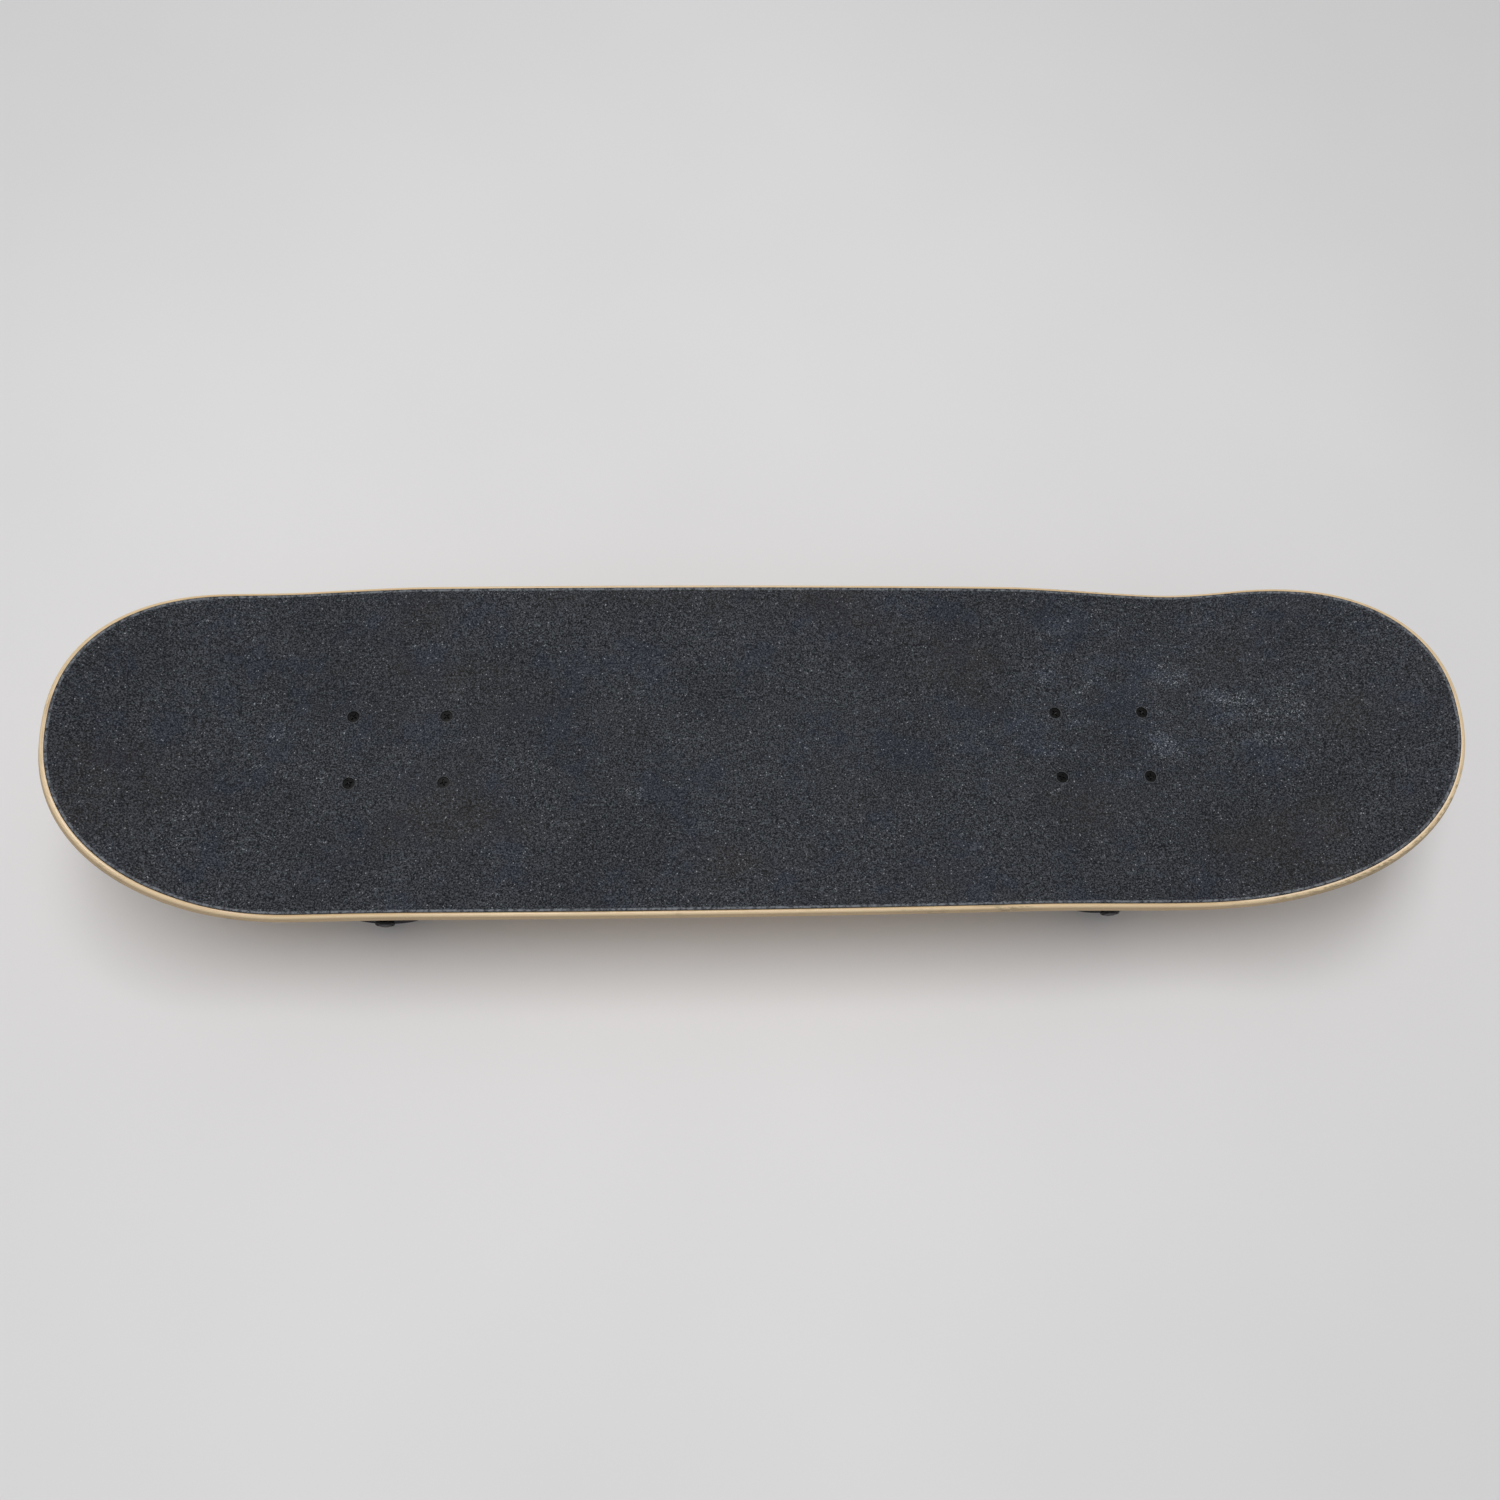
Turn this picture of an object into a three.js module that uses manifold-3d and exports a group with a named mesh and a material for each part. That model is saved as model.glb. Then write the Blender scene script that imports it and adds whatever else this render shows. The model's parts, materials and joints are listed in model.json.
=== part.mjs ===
// A street skateboard: a pressed deck with grip tape, two steering trucks and four wheels on ball bearings.
// Millimetres. +X is the nose, +Y the rider's left, +Z up. The wheels stand on z = 0.
import * as THREE from "three";
import { mergeVertices } from "three/addons/utils/BufferGeometryUtils.js";
import Module from "manifold-3d";

const wasm = await Module();
wasm.setup();

// ---- Driving dimensions ---------------------------------------------------------------------------------

// The space kept between two pieces that touch on the real board.
const GAP = 0.3;

// Deck. Lengths along the board are arc lengths from the middle between the trucks.
const DECK_HALF_WIDTH = 103;
const DECK_THICKNESS = 11;
const GRIP_THICKNESS = 0.7;
// The tape stops this far inside the widest line of the deck, before the rounded edge.
const GRIP_INSET = 2.2;
// Depths below the deck's top at which its rounded edge changes slope, with how far each lies inside.
const EDGE_LEVELS = [
  { depth: 0, inset: 1.4 },
  { depth: 2, inset: 0 },
  { depth: 8.5, inset: 0 },
  { depth: DECK_THICKNESS, inset: 2 },
];
// Each end: the tip, where the sides start to curve in, the curve's two powers, the kick's start, angle and
// bend radius, how much the waist has narrowed by the trucks, and the concave left at the tip.
const NOSE = {
  tip: 415.4,
  curveStart: 270.6,
  lengthPower: 2.71,
  widthPower: 2.19,
  kickStart: 257.2,
  kickAngle: THREE.MathUtils.degToRad(23.2),
  bendRadius: 111.6,
  taper: 1.9,
  tipConcave: 0.2,
  fadeStart: 152,
  fadeLength: 114,
};
const TAIL = {
  tip: 401.9,
  curveStart: 256,
  lengthPower: 2.64,
  widthPower: 2.24,
  kickStart: 262.8,
  kickAngle: THREE.MathUtils.degToRad(23.1),
  bendRadius: 136.8,
  taper: 1.8,
  tipConcave: 2.5,
  fadeStart: 192,
  fadeLength: 115,
};
const TAPER_LENGTH = 240;
const CONCAVE_HEIGHT = 9.7;
// The middle of the deck is flat across this share of its half width, and curves up beyond it.
const FLAT_SHARE = 0.15;
const CONCAVE_POWER = 1.8;
const TIP_HALF_WIDTH = 7;
const STATIONS_PER_END = 20;
const STATION_POWER = 1.7;
const STRIPS_PER_SIDE = 4;

// Trucks.
const WHEELBASE = 365;
const BOLT_HALF_LENGTH = 26.99;
const BOLT_HALF_WIDTH = 20.64;
const TRUCK_X = WHEELBASE / 2 + BOLT_HALF_LENGTH;
const AXLE_OUTBOARD = 14;
const AXLE_DROP = 53.5;
const KINGPIN_LEAN = THREE.MathUtils.degToRad(22);
const KINGPIN_TOP_X = 3;
const PIVOT_X = 27;
const PIVOT_DROP = 13.5;

// Baseplate.
const PLATE = { length: 82, width: 56, thickness: 7, corner: 9, bevel: 0.8 };
const SEAT_RADIUS = 12;
// The ribs that join the kingpin seat and the pivot socket to the plate.
const RIB = { width: 12, bevel: 1, root: -4 };
// Places along the pivot axis are measured outboard from the middle of the stem's round tip.
const SOCKET = { radius: 12, mouth: -5.5, end: 11.5 };
const CUP = { radius: 9, mouth: -6, end: 8.2 };
// The socket's bore starts here, clear of the socket's mouth.
const SOCKET_BORE_START = -8;

// Pieces on the kingpin, with their places measured down it from the deck's underside.
const KINGPIN_RADIUS = 4.76;
const KINGPIN_HEX = 14.3;
const HEAD_TOP = 4.2;
const HEAD_HEIGHT = 5;
const SEAT_END = 13;
const WASHER_THICKNESS = 1.3;
const WASHER_RADIUS = { boardSide: 11.5, roadSide: 9.6 };
const BOARD_BUSHING = { height: 13.5, radius: 12, chamfer: 1, chamferHeight: 1.5 };
const RING = { height: 7.5, radius: 15, hole: 9.3, rim: 1.8 };
const ROAD_BUSHING = { height: 9.5, radius: 10.6, tip: 8.8, straight: 2 };
const KINGPIN_NUT_HEIGHT = 7.6;
const KINGPIN_END = 57.2;

// Hanger and axle.
const HANGER_HALF_WIDTH = 54.3;
const HOUSING = { end: 9, middle: 12 };
const STEM_TIP_RADIUS = 5.5;
const STEM_ROOT_RADIUS = 6.3;
const STEM_TAPER_START = 7;
const STEM_LENGTH = 12;
const BODY = { width: 19, bevel: 2 };
const WEB = { thickness: 6.4, start: 13 };
const AXLE_RADIUS = 3.95;
const AXLE_HALF_LENGTH = 89.5;

// Wheels and bearings.
const WHEEL_RADIUS = 26;
const WHEEL_WIDTH = 31;
const WHEEL_OUTER_FACE = 83;
const WHEEL_Y = WHEEL_OUTER_FACE - WHEEL_WIDTH / 2;
const LIP_RADIUS = 5;
// The dished side: the flat round the bearing, then the slope out to the side's face, inside the lip.
const DISH = { flat: 2, slope: 2.5, faceInset: 0.6 };
const SEAT_STEP = 1.8;
const BEARING = { outer: 11, width: 7 };
const BEARING_SPACING = 10.2;
const SPEED_WASHER = { radius: 7.5, thickness: 1 };
const AXLE_NUT = { across: 12.7, height: 7.5 };

// Deck bolts.
const BOLT = { radius: 2.4, head: 3.6, headEdge: 0.5, cone: 1.6, length: 25.4, sunk: 0.6 };
const BOLT_NUT = { across: 9.5, height: 5.6 };
const RECESS = { length: 4, width: 1, depth: 1.4 };
// How far a drill for the deck's holes reaches past both of its faces.
const DRILL_REACH = 5;

// Facets round the turned pieces.
const WHEEL_SIDES = 24;
const TURNED_SIDES = 16;
const SMALL_SIDES = 12;

// ---- Materials ------------------------------------------------------------------------------------------

const material = (color, roughness, metalness) =>
  new THREE.MeshStandardMaterial({ color, roughness, metalness });

const MAPLE = () => material(0xd0b184, 0.55, 0);
const GRIT = () => material(0x33383f, 0.95, 0);
const CAST_ALUMINIUM = () => material(0xa9adb0, 0.42, 1);
const BLACK_STEEL = () => material(0x1b1c1e, 0.4, 0.9);
const PLATED_STEEL = () => material(0xb8babb, 0.3, 1);
const BLACK_URETHANE = () => material(0x17181a, 0.5, 0);
const BLACK_PLASTIC = () => material(0x202124, 0.6, 0);

// ---- Solids ---------------------------------------------------------------------------------------------

/** A closed geometry as a manifold solid. */
function toSolid(geometry) {
  const bare = geometry.clone();
  bare.deleteAttribute("normal");
  bare.deleteAttribute("uv");
  const merged = mergeVertices(bare, 1e-4);
  const vertProperties = new Float32Array(merged.attributes.position.array);
  const triVerts = new Uint32Array(merged.index.array);
  return new wasm.Manifold(new wasm.Mesh({ numProp: 3, vertProperties, triVerts }));
}

/** A manifold solid as a geometry with flat facets. */
function toGeometry(solid) {
  const { vertProperties, triVerts } = solid.getMesh();
  const indexed = new THREE.BufferGeometry();
  indexed.setAttribute("position", new THREE.BufferAttribute(new Float32Array(vertProperties), 3));
  indexed.setIndex(new THREE.BufferAttribute(new Uint32Array(triVerts), 1));
  const flat = indexed.toNonIndexed();
  flat.computeVertexNormals();
  return flat;
}

/** Joins closed geometries into one. */
function join(...geometries) {
  return toGeometry(geometries.map(toSolid).reduce((whole, piece) => whole.add(piece)));
}

/** Cuts tools out of a closed geometry. */
function cut(geometry, ...tools) {
  return toGeometry(tools.map(toSolid).reduce((rest, tool) => rest.subtract(tool), toSolid(geometry)));
}

/** The part of a closed geometry that lies inside another. */
function keepInside(geometry, region) {
  return toGeometry(toSolid(geometry).intersect(toSolid(region)));
}

/** A piece turned about Y. The profile's [radius, height] points run round it in either direction. */
function turned(profile, sides) {
  const points = profile.map(([radius, height]) => new THREE.Vector2(radius, height));
  if (THREE.ShapeUtils.area(points) < 0) points.reverse();
  const first = points[0];
  if (first.x > 0) points.push(first.clone());
  return new THREE.LatheGeometry(points, sides);
}

/** A round bar about Y between two heights. */
function bar(radius, low, high, sides = SMALL_SIDES) {
  return new THREE.CylinderGeometry(radius, radius, high - low, sides).translate(0, (low + high) / 2, 0);
}

/** A ring about Y between two heights. */
function ring(outer, hole, low, high, sides = TURNED_SIDES) {
  return turned([[hole, low], [outer, low], [outer, high], [hole, high]], sides);
}

/** Points along a quarter circle in a profile, from one angle to another in degrees. */
function arc(centreRadius, centreHeight, radius, from, to, steps) {
  return Array.from({ length: steps + 1 }, (_, i) => {
    const angle = THREE.MathUtils.degToRad(from + ((to - from) * i) / steps);
    return [centreRadius + radius * Math.cos(angle), centreHeight + radius * Math.sin(angle)];
  });
}

/** The profile of a round tip about the axis, from its side to its top. */
function roundTip(radius) {
  return [...arc(0, 0, radius, 0, 68, 3), [0, radius]];
}

/** A hexagonal bar about Y between two heights, with a round hole if one is given. */
function hexagon(across, low, high, hole = 0) {
  const corner = across / Math.sqrt(3);
  const corners = Array.from({ length: 6 }, (_, i) => {
    const angle = (i * Math.PI) / 3;
    return new THREE.Vector2(corner * Math.cos(angle), corner * Math.sin(angle));
  });
  const outline = new THREE.Shape(corners);
  if (hole) outline.holes.push(new THREE.Path().absarc(0, 0, hole, 0, 2 * Math.PI, true));
  const options = { depth: high - low, bevelEnabled: false, curveSegments: SMALL_SIDES / 2 };
  const prism = new THREE.ExtrudeGeometry(outline, options);
  return prism.rotateX(-Math.PI / 2).translate(0, low, 0);
}

/** Stands a geometry made about Y upright, its +Y end on top. */
const turnUp = (geometry) => geometry.rotateX(Math.PI / 2);

/** Turns a geometry made about Y so that its Y axis runs along a direction in X and Z, through a point. */
function along(geometry, origin, direction) {
  const turn = new THREE.Quaternion().setFromUnitVectors(new THREE.Vector3(0, 1, 0), direction);
  return geometry.applyQuaternion(turn).translate(origin.x, origin.y, origin.z);
}

function mesh(name, geometry, finish) {
  const made = new THREE.Mesh(geometry, finish);
  made.name = name;
  return made;
}

// ---- Deck -----------------------------------------------------------------------------------------------

/** Half the width at arc length a towards one end, for an outline moved in by inset. */
function halfWidth(end, a, inset) {
  const widest = DECK_HALF_WIDTH - inset - end.taper * (a / TAPER_LENGTH) ** 2;
  const u = THREE.MathUtils.clamp((a - end.curveStart) / (end.tip - inset - end.curveStart), 0, 1);
  return widest * (1 - u ** end.lengthPower) ** (1 / end.widthPower);
}

/** The arc length at which an end's outline has narrowed to TIP_HALF_WIDTH, where the tip is closed. */
function tipStation(end, inset) {
  const widest = DECK_HALF_WIDTH - inset - end.taper * (end.tip / TAPER_LENGTH) ** 2;
  const u = (1 - (TIP_HALF_WIDTH / widest) ** end.widthPower) ** (1 / end.lengthPower);
  return end.curveStart + u * (end.tip - inset - end.curveStart);
}

/** The riding surface's centreline at arc length a: along the board, up, and its slope angle. */
function centreline(end, a) {
  const bendLength = end.bendRadius * end.kickAngle;
  const flat = Math.min(a, end.kickStart);
  const angle = THREE.MathUtils.clamp((a - end.kickStart) / end.bendRadius, 0, end.kickAngle);
  const straight = Math.max(a - end.kickStart - bendLength, 0);
  return {
    along: flat + end.bendRadius * Math.sin(angle) + straight * Math.cos(angle),
    up: end.bendRadius * (1 - Math.cos(angle)) + straight * Math.sin(angle),
    angle,
  };
}

/** How far the surface curves up at a distance y from the centreline, at arc length a. */
function concave(end, a, y) {
  const fade = THREE.MathUtils.smoothstep((a - end.fadeStart) / end.fadeLength, 0, 1);
  const height = THREE.MathUtils.lerp(CONCAVE_HEIGHT, end.tipConcave, fade);
  const side = Math.max(Math.abs(y) / DECK_HALF_WIDTH - FLAT_SHARE, 0) / (1 - FLAT_SHARE);
  return height * side ** CONCAVE_POWER;
}

/** Where a grid line across the deck lies, from -1 to 1. The middle strips are as wide as the flat. */
function gridLine(across) {
  const strip = Math.abs(across) * STRIPS_PER_SIDE;
  const outer = FLAT_SHARE + ((1 - FLAT_SHARE) * (strip - 1)) / (STRIPS_PER_SIDE - 1);
  return Math.sign(across) * (strip < 1 ? strip * FLAT_SHARE : outer);
}

/** Splits the squares of a box's underside along the diagonal that its top uses, so that layers nest. */
function matchDiagonals(box) {
  const underside = box.groups[5];
  const index = box.index;
  for (let i = underside.start; i < underside.start + underside.count; i += 6) {
    const [a, b, , , c, d] = Array.from({ length: 6 }, (_, corner) => index.getX(i + corner));
    [a, b, c, a, c, d].forEach((vertex, corner) => index.setX(i + corner, vertex));
  }
}

/** A layer of the deck, bent to its shape. Levels are depths below the riding surface, with their insets. */
function deckLayer(levels) {
  const lengthSteps = 2 * STATIONS_PER_END;
  const widthSteps = 2 * STRIPS_PER_SIDE;
  const layer = new THREE.BoxGeometry(2, 2, 1, lengthSteps, widthSteps, levels.length - 1);
  matchDiagonals(layer);
  const position = layer.attributes.position;
  for (let i = 0; i < position.count; i += 1) {
    const share = position.getX(i);
    const facing = share < 0 ? -1 : 1;
    const end = share < 0 ? TAIL : NOSE;
    const level = levels[Math.round((0.5 - position.getZ(i)) * (levels.length - 1))];
    const a = tipStation(end, level.inset) * (1 - (1 - Math.abs(share)) ** STATION_POWER);
    const y = gridLine(position.getY(i)) * halfWidth(end, a, level.inset);
    const line = centreline(end, a);
    const lift = concave(end, a, y) - level.depth;
    const x = line.along - lift * Math.sin(line.angle);
    position.setXYZ(i, facing * x, y, line.up + lift * Math.cos(line.angle));
  }
  return layer;
}

/** The eight places of the deck bolts, as seen from above. */
function boltPlaces() {
  return [1, -1].flatMap((facing) =>
    [1, -1].flatMap((length) =>
      [1, -1].map((width) => ({
        x: facing * TRUCK_X + length * BOLT_HALF_LENGTH,
        y: width * BOLT_HALF_WIDTH,
      })),
    ),
  );
}

/** Depths below the riding surface of the deck's two faces. */
const DECK_TOP = GRIP_THICKNESS + GAP;
const DECK_UNDERSIDE = DECK_TOP + DECK_THICKNESS;

/** A countersunk hole for one deck bolt, measured from the riding surface. */
function boltHole() {
  const shank = BOLT.radius + GAP;
  const head = BOLT.head + GAP;
  const edge = BOLT.sunk + BOLT.headEdge + GAP;
  const profile = [
    [0, -DECK_UNDERSIDE - DRILL_REACH],
    [shank, -DECK_UNDERSIDE - DRILL_REACH],
    [shank, -edge - BOLT.cone],
    [head, -edge],
    [head, DRILL_REACH],
    [0, DRILL_REACH],
  ];
  return turnUp(turned(profile, SMALL_SIDES));
}

function drilled(layer) {
  return cut(layer, ...boltPlaces().map(({ x, y }) => boltHole().translate(x, y, 0)));
}

function deck() {
  const levels = EDGE_LEVELS.map(({ depth, inset }) => ({ depth: depth + DECK_TOP, inset }));
  return mesh("deck", drilled(deckLayer(levels)), MAPLE());
}

function gripTape() {
  const levels = [0, GRIP_THICKNESS].map((depth) => ({ depth, inset: GRIP_INSET }));
  return mesh("grip_tape", drilled(deckLayer(levels)), GRIT());
}

/** A deck bolt with a cross recess, its head's top BOLT.sunk below the riding surface. */
function deckBolt() {
  const body = turned(
    [
      [0, 0],
      [BOLT.head, 0],
      [BOLT.head, -BOLT.headEdge],
      [BOLT.radius, -BOLT.headEdge - BOLT.cone],
      [BOLT.radius, -BOLT.length],
      [0, -BOLT.length],
    ],
    SMALL_SIDES,
  );
  const slots = [
    new THREE.BoxGeometry(RECESS.length, 2 * RECESS.depth, RECESS.width),
    new THREE.BoxGeometry(RECESS.width, 2 * RECESS.depth, RECESS.length),
  ];
  return turnUp(cut(body, ...slots));
}

// ---- Truck ----------------------------------------------------------------------------------------------
// A truck's own frame lies at the middle of its bolt pattern on the deck's underside. +X points outboard.

const KINGPIN_TOP = new THREE.Vector3(KINGPIN_TOP_X, 0, 0);
const KINGPIN_DOWN = new THREE.Vector3(-Math.sin(KINGPIN_LEAN), 0, -Math.cos(KINGPIN_LEAN));
const RING_OUTBOARD = new THREE.Vector3(Math.cos(KINGPIN_LEAN), 0, -Math.sin(KINGPIN_LEAN));

const BOARD_WASHER_TOP = SEAT_END + GAP;
const BOARD_BUSHING_TOP = BOARD_WASHER_TOP + WASHER_THICKNESS + GAP;
const RING_TOP = BOARD_BUSHING_TOP + BOARD_BUSHING.height + GAP;
const RING_MIDDLE = RING_TOP + RING.height / 2;
const ROAD_BUSHING_TOP = RING_TOP + RING.height + GAP;
const ROAD_WASHER_TOP = ROAD_BUSHING_TOP + ROAD_BUSHING.height + GAP;
const KINGPIN_NUT_TOP = ROAD_WASHER_TOP + WASHER_THICKNESS + GAP;

const RING_CENTRE = KINGPIN_TOP.clone().addScaledVector(KINGPIN_DOWN, RING_MIDDLE);
const PIVOT = new THREE.Vector3(PIVOT_X, 0, -PIVOT_DROP);
const PIVOT_DIRECTION = PIVOT.clone().sub(RING_CENTRE).normalize();
const AXLE = new THREE.Vector3(AXLE_OUTBOARD, 0, -AXLE_DROP);

const onKingpin = (geometry) => along(geometry, KINGPIN_TOP, KINGPIN_DOWN);
const onPivot = (geometry) => along(geometry, PIVOT, PIVOT_DIRECTION);

/** A place in the truck's middle plane, from its distances outboard of the kingpin's line and down it. */
function byKingpin(outboard, down) {
  const place = KINGPIN_TOP.clone();
  place.addScaledVector(RING_OUTBOARD, outboard).addScaledVector(KINGPIN_DOWN, down);
  return new THREE.Vector2(place.x, place.z);
}

/** A flat slab from an outline in X and Z, centred on the truck's middle plane. */
function slab(outline, { width, bevel }) {
  const options = {
    depth: width - 2 * bevel,
    bevelThickness: bevel,
    bevelSize: bevel,
    bevelOffset: -bevel,
    bevelSegments: 1,
  };
  const made = new THREE.ExtrudeGeometry(new THREE.Shape(outline), options);
  return made.rotateX(Math.PI / 2).translate(0, width / 2 - bevel, 0);
}

/** The baseplate's flat part, its top face on z = 0. */
function plate() {
  const { length, width, thickness, corner, bevel } = PLATE;
  const x = length / 2;
  const y = width / 2;
  const outline = new THREE.Shape();
  outline.absarc(x - corner, y - corner, corner, 0, Math.PI / 2);
  outline.absarc(corner - x, y - corner, corner, Math.PI / 2, Math.PI);
  outline.absarc(corner - x, corner - y, corner, Math.PI, 1.5 * Math.PI);
  outline.absarc(x - corner, corner - y, corner, 1.5 * Math.PI, 2 * Math.PI);
  const options = {
    depth: thickness - bevel,
    bevelThickness: bevel,
    bevelSize: bevel,
    bevelOffset: -bevel,
    bevelSegments: 1,
    curveSegments: 4,
  };
  const flat = new THREE.ExtrudeGeometry(outline, options).translate(0, 0, -thickness);
  const below = new THREE.BoxGeometry(2 * length, 2 * width, thickness).translate(0, 0, -thickness / 2);
  return keepInside(flat, below);
}

/** A hole for a deck bolt through the baseplate. */
function plateHole(length, width) {
  const hole = bar(BOLT.radius + GAP, -2 * PLATE.thickness, PLATE.thickness);
  return turnUp(hole).translate(length * BOLT_HALF_LENGTH, width * BOLT_HALF_WIDTH, 0);
}

/** A baseplate, with its kingpin seat, its pivot socket and its four bolt holes. */
function baseplate() {
  const seat = onKingpin(bar(SEAT_RADIUS, -SEAT_END, SEAT_END, TURNED_SIDES));
  const socket = onPivot(bar(SOCKET.radius, SOCKET.mouth, SOCKET.end, TURNED_SIDES));
  const seatRib = slab(
    [
      new THREE.Vector2(-30, RIB.root),
      byKingpin(-10, SEAT_END - 2),
      byKingpin(8, SEAT_END - 6),
      new THREE.Vector2(24, RIB.root),
    ],
    RIB,
  );
  const socketRib = slab(
    [
      new THREE.Vector2(20, RIB.root),
      new THREE.Vector2(29, -17),
      new THREE.Vector2(38, -6.5),
      new THREE.Vector2(38, RIB.root),
    ],
    RIB,
  );
  const body = join(plate(), seat, socket, seatRib, socketRib);
  const underDeck = new THREE.BoxGeometry(200, 200, 100).translate(0, 0, -50);
  const headPocket = hexagon(KINGPIN_HEX + 2 * GAP, -SEAT_END, HEAD_TOP + HEAD_HEIGHT + GAP);
  const kingpinHole = bar(KINGPIN_RADIUS + GAP, 0, 2 * SEAT_END, TURNED_SIDES);
  const cupPocket = bar(CUP.radius + GAP, SOCKET_BORE_START, CUP.end + GAP, TURNED_SIDES);
  const boltHoles = [1, -1].flatMap((length) => [1, -1].map((width) => plateHole(length, width)));
  const solid = keepInside(body, underDeck);
  return cut(solid, onKingpin(headPocket), onKingpin(kingpinHole), onPivot(cupPocket), ...boltHoles);
}

/** The urethane cup that the hanger's stem turns in. */
function pivotCup() {
  const inside = STEM_TIP_RADIUS + GAP;
  const profile = [
    [0, CUP.end],
    [CUP.radius, CUP.end],
    [CUP.radius, CUP.mouth],
    [STEM_ROOT_RADIUS + GAP, CUP.mouth],
    ...roundTip(inside),
  ];
  return onPivot(turned(profile, TURNED_SIDES));
}

function kingpin() {
  const head = hexagon(KINGPIN_HEX, HEAD_TOP, HEAD_TOP + HEAD_HEIGHT);
  const shank = bar(KINGPIN_RADIUS, HEAD_TOP + 1, KINGPIN_END, TURNED_SIDES);
  return onKingpin(join(head, shank));
}

function boardBushing() {
  const { height, radius, chamfer, chamferHeight } = BOARD_BUSHING;
  const low = BOARD_BUSHING_TOP;
  const hole = KINGPIN_RADIUS + GAP;
  const profile = [
    [hole, low],
    [radius - chamfer, low],
    [radius, low + chamferHeight],
    [radius, low + height - chamferHeight],
    [radius - chamfer, low + height],
    [hole, low + height],
  ];
  return onKingpin(turned(profile, TURNED_SIDES));
}

function roadBushing() {
  const { height, radius, tip, straight } = ROAD_BUSHING;
  const low = ROAD_BUSHING_TOP;
  const hole = KINGPIN_RADIUS + GAP;
  const profile = [
    [hole, low],
    [radius, low],
    [radius, low + straight],
    [tip, low + height],
    [hole, low + height],
  ];
  return onKingpin(turned(profile, TURNED_SIDES));
}

function washer(top, radius) {
  return onKingpin(ring(radius, KINGPIN_RADIUS + GAP, top, top + WASHER_THICKNESS));
}

function kingpinNut() {
  const bottom = KINGPIN_NUT_TOP + KINGPIN_NUT_HEIGHT;
  return onKingpin(hexagon(KINGPIN_HEX, KINGPIN_NUT_TOP, bottom, KINGPIN_RADIUS + GAP));
}

/** The ring that the bushings hold, with a rim round each bushing. */
function hangerRing() {
  const { height, radius, hole, rim } = RING;
  const bottom = RING_TOP + height;
  const profile = [
    [hole, RING_TOP],
    [BOARD_BUSHING.radius + GAP, RING_TOP],
    [BOARD_BUSHING.radius + 1, RING_TOP - rim],
    [radius, RING_TOP - rim + 0.6],
    [radius, bottom + 0.6],
    [ROAD_BUSHING.radius + 1.4, bottom + rim],
    [ROAD_BUSHING.radius + GAP, bottom],
    [hole, bottom],
  ];
  return onKingpin(turned(profile, TURNED_SIDES));
}

/** The tapered housing round the axle. */
function axleHousing() {
  const { end, middle } = HOUSING;
  const y = HANGER_HALF_WIDTH;
  const half = [[0, y], [end - 0.8, y], [end, y - 1], [end, y - 4], [end + 1, y - 24], [middle, 15]];
  const mirrored = half.map(([radius, height]) => [radius, -height]).reverse();
  return turned([...half, ...mirrored], TURNED_SIDES).translate(AXLE.x, 0, AXLE.z);
}

/** The middle of the hanger, which joins the ring, the pivot stem and the axle housing. */
function hangerBody() {
  const inner = BOARD_BUSHING.radius + 1.8;
  const outline = [
    byKingpin(inner, 9.5),
    byKingpin(inner, RING_TOP + RING.height),
    byKingpin(18.5, 41.5),
    byKingpin(20, 49),
    byKingpin(38, 50),
    byKingpin(41.5, 43),
    byKingpin(33, 24),
    byKingpin(24.5, 15.5),
    byKingpin(19, 9.5),
  ];
  return slab(outline, BODY);
}

/** The web that widens from the ring's sides to the axle housing. */
function hangerWeb() {
  const from = byKingpin(WEB.start, RING_MIDDLE);
  const to = new THREE.Vector2(AXLE.x, AXLE.z);
  const reach = from.distanceTo(to);
  const outline = [[0, 12], [4, 13.5], [reach - 6, 24], [reach, 36]];
  const mirrored = outline.map(([a, b]) => [a, -b]).reverse();
  const shape = new THREE.Shape([...outline, ...mirrored].map(([a, b]) => new THREE.Vector2(a, b)));
  const flat = new THREE.ExtrudeGeometry(shape, { depth: WEB.thickness, bevelEnabled: false });
  const slope = Math.atan2(from.y - to.y, to.x - from.x);
  return flat.translate(0, 0, -WEB.thickness / 2).rotateY(slope).translate(from.x, 0, from.y);
}

/** The round stem that turns in the pivot cup. Its axis is the hanger's tilt axis. */
function pivotStem() {
  const profile = [
    [0, -STEM_LENGTH],
    [STEM_ROOT_RADIUS, -STEM_LENGTH],
    [STEM_ROOT_RADIUS, -STEM_TAPER_START],
    ...roundTip(STEM_TIP_RADIUS),
  ];
  return onPivot(turned(profile, TURNED_SIDES));
}

function hanger() {
  const whole = join(hangerBody(), hangerRing(), hangerWeb(), axleHousing(), pivotStem());
  const axleBore = bar(AXLE_RADIUS + GAP, -AXLE_HALF_LENGTH, AXLE_HALF_LENGTH, TURNED_SIDES);
  const kingpinHole = bar(RING.hole, RING_TOP - RING.height, RING_TOP + 2 * RING.height, TURNED_SIDES);
  return cut(whole, axleBore.translate(AXLE.x, 0, AXLE.z), onKingpin(kingpinHole));
}

function axle() {
  const end = AXLE_HALF_LENGTH;
  const half = [[0, end], [AXLE_RADIUS - 0.8, end], [AXLE_RADIUS, end - 0.8]];
  const mirrored = half.map(([radius, height]) => [radius, -height]).reverse();
  return turned([...half, ...mirrored], TURNED_SIDES).translate(AXLE.x, 0, AXLE.z);
}

// ---- Wheel ----------------------------------------------------------------------------------------------
// Made about Y with its middle on y = 0 and its outer face towards +Y.

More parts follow.
